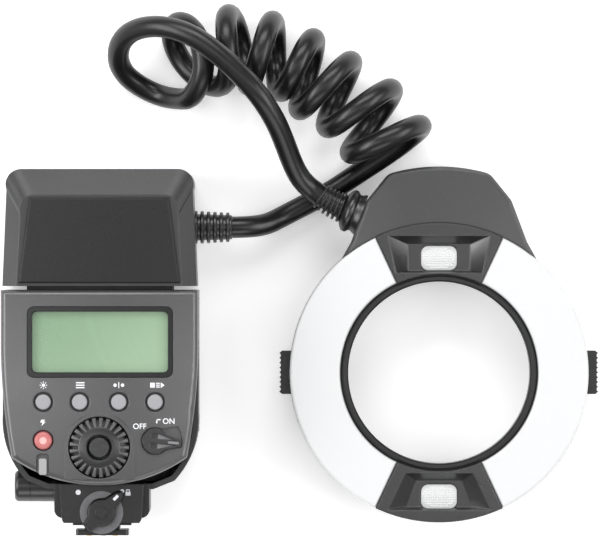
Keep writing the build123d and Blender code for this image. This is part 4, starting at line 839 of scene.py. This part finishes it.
def dial_tooth():
    """One wedge. Each row is a radius, half the width there and a height."""
    shape = bmesh.new()
    inner, outer = 7.1, 10.35
    low = DIAL_TOP - 2.0
    rows = [
        (inner, 0.34, DIAL_TOP - 0.02), (outer, 0.62, DIAL_TOP - 0.45),
        (outer + 0.2, 0.8, low), (inner, 0.95, low)]
    left = [shape.verts.new((r * MM, -w * MM, z * MM)) for r, w, z in rows]
    right = [shape.verts.new((r * MM, w * MM, z * MM)) for r, w, z in rows]
    shape.faces.new(left)
    shape.faces.new(right[::-1])
    for k in range(4):
        j = (k + 1) % 4
        shape.faces.new([left[k], right[k], right[j], left[j]])
    bmesh.ops.bevel(
        shape, geom=list(shape.edges), offset=0.12 * MM, segments=2, profile=0.5,
        affect="EDGES")
    return finish_mesh(shape)


def dial_piece():
    body = lathe([
        (4.35, DIAL_TOP - 4.4), (10.0, DIAL_TOP - 4.4), (10.45, DIAL_TOP - 4.0),
        (10.45, DIAL_TOP - 2.3), (10.0, DIAL_TOP - 1.75), (7.9, DIAL_TOP - 0.8),
        (7.35, DIAL_TOP - 0.15), (7.1, DIAL_TOP), (4.75, DIAL_TOP), (4.35, DIAL_TOP - 0.35)],
        100)
    return placed(body, DIAL)


dial = mesh_piece("toothed_dial", dial_piece(), dial_plastic)
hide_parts("select_dial")
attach(dial, "select_dial")
teeth_mesh = repeated(dial_tooth(), ROUND, dial_teeth_painted_highlight, Count=DIAL_TEETH)
teeth = mesh_piece("dial_teeth", placed(teeth_mesh, DIAL), dial_teeth_painted_highlight)
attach(teeth, "select_dial")
print("dial faces", len(dial.data.polygons) + len(teeth_mesh.polygons))

# %% [markdown]
# ## Ribbed reliefs
#
# Where the cord enters each housing a rubber sleeve spreads its bend. Its ribs are separate
# rings on a thinner core, with a web along the top and the bottom that lets it bend sideways.
# One rounded ring is modelled, and the line tree steps it along and shrinks it to the tip.

# %% Reliefs
RIB_SHARE = 0.56
UNIT_RELIEF_FOOT = Vector((-38.15, 44.0, 12.0)) * MM
RING_RELIEF_FOOT = RING + Vector((-27.53, 55.85, 17.0)) * MM
RING_RELIEF_HEADING = 159.5
SLEEVE_FOOT, SLEEVE_LENGTH, SLEEVE_BEND_DEG = 7.0, 9.8, 18.0


def rib_ring(outer, inner, width):
    half = width / 2
    return lathe([
        (inner, -half), (outer - 0.3, -half), (outer, -half + 0.28), (outer, half - 0.28),
        (outer - 0.3, half), (inner, half)], 48)


def relief_sleeve(root, tip, length, count):
    """A sleeve along Z whose ribs shrink from the radius at its root to the one at its tip."""
    pitch = length / count
    width = pitch * RIB_SHARE
    ring = rib_ring(root, tip * 0.6, width)
    ribs = repeated(
        ring, ALONG, relief_rubber, Count=count, Step=pitch * MM,
        Shrink=(1 - tip / root) / (count - 1))
    ribs.transform(Matrix.Translation((0, 0, width / 2 * MM)))
    core = lathe([
        (0, 0), (root - 1.15, 0), (tip - 0.95, length - 0.3), (tip - 1.2, length - 0.05),
        (0, length - 0.05)], 48)
    webs = []
    for side in (-1, 1):
        web = slab([(-0.55, 0), (0.55, 0), (0.45, 0.6), (-0.45, 0.6)], 0.3, length - 0.4, 0.1)
        web.transform(Matrix.Translation((0, (tip - 0.95) * MM, 0)))
        web.transform(Matrix.Rotation(side * pi / 2, 4, "Z"))
        webs.append(web)
    return joined([ribs, core] + webs)


unit_sleeve_mesh = relief_sleeve(root=5.9, tip=5.25, length=13.6, count=6)
unit_sleeve = mesh_piece(
    "head_relief", placed(unit_sleeve_mesh, UNIT_RELIEF_FOOT, 0), relief_rubber)
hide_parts("unit_relief")
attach(unit_sleeve, "housing")


def bend_sleeve(mesh):
    """Curves the free part of the sleeve sideways, the way that the cord pulls it."""
    foot = SLEEVE_FOOT * MM
    radius = SLEEVE_LENGTH * MM / radians(SLEEVE_BEND_DEG)
    for vertex in mesh.vertices:
        x, y, z = vertex.co
        if z <= foot:
            continue
        angle = (z - foot) / radius
        vertex.co = (x, -radius + (radius + y) * cos(angle), foot + (radius + y) * sin(angle))
    mesh.update()


def ring_sleeve_mesh():
    boot = lathe([
        (0, 0), (7.4, 0), (7.2, 0.9), (6.7, 1.7), (6.6, 2.5), (7.1, 3.0), (7.6, 3.5),
        (7.75, 4.3), (7.5, 5.1), (6.6, 5.9), (5.4, 6.6), (4.6, 7.0), (0, 7.0)], 64)
    sleeve = relief_sleeve(root=5.4, tip=4.7, length=SLEEVE_LENGTH, count=6)
    sleeve.transform(Matrix.Translation((0, 0, SLEEVE_FOOT * MM)))
    bend_sleeve(sleeve)
    return joined([boot, sleeve])


ring_sleeve = mesh_piece(
    "ring_head_relief",
    placed(ring_sleeve_mesh(), RING_RELIEF_FOOT, RING_RELIEF_HEADING), relief_rubber)
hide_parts("ring_relief")
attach(ring_sleeve, "housing")

# %% [markdown]
# ## Prisms of the focus lamps
#
# Each focus lamp sits behind a small window whose face is moulded into rows of low pyramids,
# so that the spot of light is even. The grid tree drops the pyramids that would stand outside
# the window's rounded outline.

# %% Prisms
WINDOW_TOP = 22.0
WINDOW_YS = (40.5, -44.0)
PRISM_HALF, PRISM_RISE = 0.42, 0.22


def prism_field(place):
    shape = bmesh.new()
    base = [shape.verts.new((x * PRISM_HALF * MM, y * PRISM_HALF * MM, 0))
            for x, y in ((-1, -1), (1, -1), (1, 1), (-1, 1))]
    tip = shape.verts.new((0, 0, PRISM_RISE * MM))
    shape.faces.new(base[::-1])
    for k in range(4):
        shape.faces.new([base[k], base[(k + 1) % 4], tip])
    field = repeated(
        finish_mesh(shape, 10), OVER, lamp_lens, Half_Width=5.3 * MM, Half_Height=3.4 * MM,
        Columns=13, Rows=9)
    return placed(field, place)


prism_fields = joined([
    prism_field(RING + Vector((0, y, WINDOW_TOP)) * MM) for y in WINDOW_YS])
prisms = mesh_piece("lamp_prisms", prism_fields, lamp_lens)
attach(prisms, "housing")
print("prism faces", len(prisms.data.polygons))

# %% [markdown]
# ## Marks beside the controls
#
# The marks are plain signs: a sun for the display light, bars for the menu, two dots for the
# ratio, a lamp with its beam, a flash, a padlock, and ON and OFF at the switch. Each is a thin
# plate of ink, built from a few outlines in the control unit's own millimetres.

# %% Marks
FACE_Z, BLOCK_Z, LEVER_Z = 57.0, 46.0, 50.2
INK_THICK = 0.04
LABEL_Y = 54.0
SUN_X, BARS_X, DOTS_X, LAMP_X = -19.5, -6.6, 6.9, 18.7
LOCK_X = 9.9
FLASH = [(-20.6, 40.9), (-19.8, 40.9), (-20.2, 39.7), (-18.7, 41.2), (-19.5, 41.2),
         (-18.9, 41.9), (-20.3, 41.9)]


def box_outline(x, y, width, height, turn_deg=0.0):
    c, s = cos(radians(turn_deg)), sin(radians(turn_deg))
    corners = [(-width / 2, -height / 2), (width / 2, -height / 2),
               (width / 2, height / 2), (-width / 2, height / 2)]
    return [(x + c * a - s * b, y + s * a + c * b) for a, b in corners]


def sun_mark(x, y, radius):
    shapes = [disc_outline(x, y, radius * 0.42)]
    for k in range(8):
        a = k * pi / 4
        reach = radius * 0.8
        shapes.append(box_outline(
            x + reach * cos(a), y + reach * sin(a), radius * 0.38, radius * 0.18, k * 45))
    return shapes


def letters(words, x, y, height):
    """Capitals as a plain mesh. The font's size is 1.4 times the height of a capital."""
    text = bpy.data.curves.new("letters", "FONT")
    text.body = words
    text.size = height * 1.4 * MM
    text.align_x, text.align_y = "CENTER", "CENTER"
    text.extrude = INK_THICK / 2 * MM
    text.resolution_u = 4
    text.offset = 0.03 * MM
    holder = bpy.data.objects.new("letters", text)
    bpy.context.scene.collection.objects.link(holder)
    graph = bpy.context.evaluated_depsgraph_get()
    mesh = bpy.data.meshes.new_from_object(holder.evaluated_get(graph))
    bpy.data.objects.remove(holder)
    mesh.transform(Matrix.Translation(
        UNIT + Vector((x, y, FACE_Z + INK_THICK / 2)) * MM))
    return mesh


def printed(name, outlines, low, body, extra=(), material=ink):
    """One piece of thin plates, at a height above the table in millimetres."""
    plates = [placed(slab(outline, low, low + INK_THICK), UNIT) for outline in outlines]
    piece = mesh_piece(name, joined(plates + list(extra)), material)
    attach(piece, body)


face_marks = sun_mark(SUN_X, LABEL_Y, 1.35)
face_marks += [box_outline(BARS_X, LABEL_Y + step, 3.0, 0.42) for step in (-0.85, 0, 0.85)]
face_marks += [disc_outline(DOTS_X + side, LABEL_Y, 0.6) for side in (-1.3, 1.3)]
face_marks += [box_outline(DOTS_X, LABEL_Y, 0.3, 2.1)]
face_marks += [box_outline(LAMP_X, LABEL_Y, 1.6, 1.7)]
face_marks += [box_outline(LAMP_X + 1.9, LABEL_Y + step, 1.3, 0.35) for step in (-0.65, 0, 0.65)]
face_marks += [[(LAMP_X + x, LABEL_Y + y) for x, y in ((2.9, -1.0), (4.2, 0), (2.9, 1.0))]]
face_marks += [FLASH, box_outline(20.75, 41.95, 1.5, 0.45), box_outline(20.2, 41.4, 0.45, 1.5)]
printed("face_marks", face_marks, FACE_Z, "housing",
        [letters("OFF", 14.2, 39.5, 1.95), letters("ON", 24.4, 41.3, 1.95)])
lock_marks = [disc_outline(-7.6, 16.2, 0.9), disc_outline(7.9, 16.6, 0.65)]
lock_marks += [box_outline(LOCK_X, 15.7, 1.8, 1.3), box_outline(LOCK_X, 17.05, 1.3, 0.3)]
lock_marks += [box_outline(LOCK_X + side, 16.65, 0.3, 0.8) for side in (-0.5, 0.5)]
printed("lock_marks", lock_marks, BLOCK_Z, "housing")
printed("lever_mark", [box_outline(5.7, 14.4, 2.2, 1.0, 45.8)], LEVER_Z, "lock_lever")
print("outlines", len(face_marks) + len(lock_marks) + 1)

# %% [markdown]
# ## Switch and pilot key
#
# The power switch has two shallow pockets beside a raised index line, and the pilot key has a
# pale centre. Thin plates stand for them: a light grey in the pockets and on the line, which is
# a painted highlight on the switch's black plastic, and a pale plate on the key. They ride on
# the switch and on the key, so they turn and sink with them.

# %% Plates on the switch and on the key
SWITCH_X, SWITCH_Y, SWITCH_REST_DEG = 19.6, 34.4, -5.0
POCKET_FLOOR, SWITCH_TOP = 57.25, 58.2


def on_switch(points):
    c, s = cos(radians(SWITCH_REST_DEG)), sin(radians(SWITCH_REST_DEG))
    return [(SWITCH_X + c * x - s * y, SWITCH_Y + s * x + c * y) for x, y in points]


pockets = [on_switch([(0.9, side * 0.9), (6.6, side * 0.9), (1.4, side * 2.5),
                      (0.9, side * 2.5)]) for side in (-1, 1)]
printed("switch_pockets", pockets, POCKET_FLOOR, "power_switch",
        material=switch_painted_highlight)
index_bar = on_switch([(4.6, -0.4), (8.4, -0.4), (8.4, 0.4), (4.6, 0.4)])
printed("switch_index", [index_bar], SWITCH_TOP, "power_switch",
        material=switch_painted_highlight)
pilot_box = nodes["pilot_button"].bound_box
pilot_top = max(corner[2] for corner in pilot_box) / MM
pilot_x = sum(corner[0] for corner in pilot_box) / len(pilot_box) / MM - UNIT.x / MM
pilot_y = sum(corner[1] for corner in pilot_box) / len(pilot_box) / MM - UNIT.y / MM
printed("pilot_glow", [disc_outline(pilot_x, pilot_y, 1.25)], pilot_top, "pilot_button",
        material=pilot_pale)
print("pilot key at", round(pilot_x, 2), round(pilot_y, 2), round(pilot_top, 2))

# %% [markdown]
# ## Table and light
#
# The photograph was taken on white, between large soft lights. Flat black faces look straight
# up into the dark gap between the lights, while rounded edges and crowned faces tilt enough to
# mirror them. So two narrow strips stand off to the sides above, and four panels lower down
# brighten the edges. The table glows a little, which lifts its shadows nearly to white.

# %% Floor and lights
bpy.context.scene.view_settings.view_transform = "Standard"


def floor():
    mesh = bpy.data.meshes.new("floor")
    half, low = 3.0, -0.1 * MM
    mesh.from_pydata(
        [(-half, -half, low), (half, -half, low), (half, half, low), (-half, half, low)], [],
        [(0, 1, 2, 3)])
    piece = bpy.data.objects.new("floor", mesh)
    bpy.context.scene.collection.objects.link(piece)
    material = bpy.data.materials.new("pale_table")
    material.use_nodes = True
    tree = material.node_tree
    shader = tree.nodes["Principled BSDF"]
    shader.inputs["Roughness"].default_value = 0.8
    cloud = add_node(tree, "ShaderNodeTexNoise", Scale=3.0)
    ramp = add_node(tree, "ShaderNodeValToRGB")
    ramp.color_ramp.elements[0].color = (0.88, 0.88, 0.88, 1)
    ramp.color_ramp.elements[1].color = (0.92, 0.92, 0.92, 1)
    tree.links.new(cloud.outputs["Fac"], ramp.inputs["Fac"])
    tree.links.new(ramp.outputs["Color"], shader.inputs["Base Color"])
    shader.inputs["Emission Color"].default_value = (1, 1, 1, 1)
    shader.inputs["Emission Strength"].default_value = 0.32
    mesh.materials.append(material)


def soft_light(name, place, aim, size, power):
    """A glowing panel, in metres and watts, that faces the point it is aimed at."""
    data = bpy.data.lights.new(name, "AREA")
    data.shape = "RECTANGLE"
    data.size, data.size_y = size
    data.energy = power
    lamp = bpy.data.objects.new(name, data)
    lamp.location = place
    lamp.rotation_euler = (Vector(aim) - Vector(place)).to_track_quat("-Z", "Y").to_euler()
    bpy.context.scene.collection.objects.link(lamp)


floor()
soft_light("left_strip", (-0.62, 0.0, 1.2), (0, 0.02, 0), (0.3, 1.1), 2.6)
soft_light("right_strip", (0.62, 0.0, 1.2), (0, 0.02, 0), (0.3, 1.1), 2.4)
soft_light("back_panel", (-0.1, 0.95, 0.85), (0, 0.03, 0), (1.1, 0.5), 9)
soft_light("left_panel", (-0.95, 0.1, 0.7), (0, 0.02, 0), (0.9, 0.45), 8)
soft_light("right_panel", (0.95, 0.0, 0.7), (0, 0.02, 0), (0.9, 0.45), 6)
soft_light("front_panel", (0.1, -0.9, 0.7), (0, 0.02, 0), (0.9, 0.4), 3.5)
world = bpy.data.worlds.new("studio")
world.use_nodes = True
background = world.node_tree.nodes["Background"]
background.inputs["Color"].default_value = (1, 1, 1, 1)
background.inputs["Strength"].default_value = 0.28
bpy.context.scene.world = world
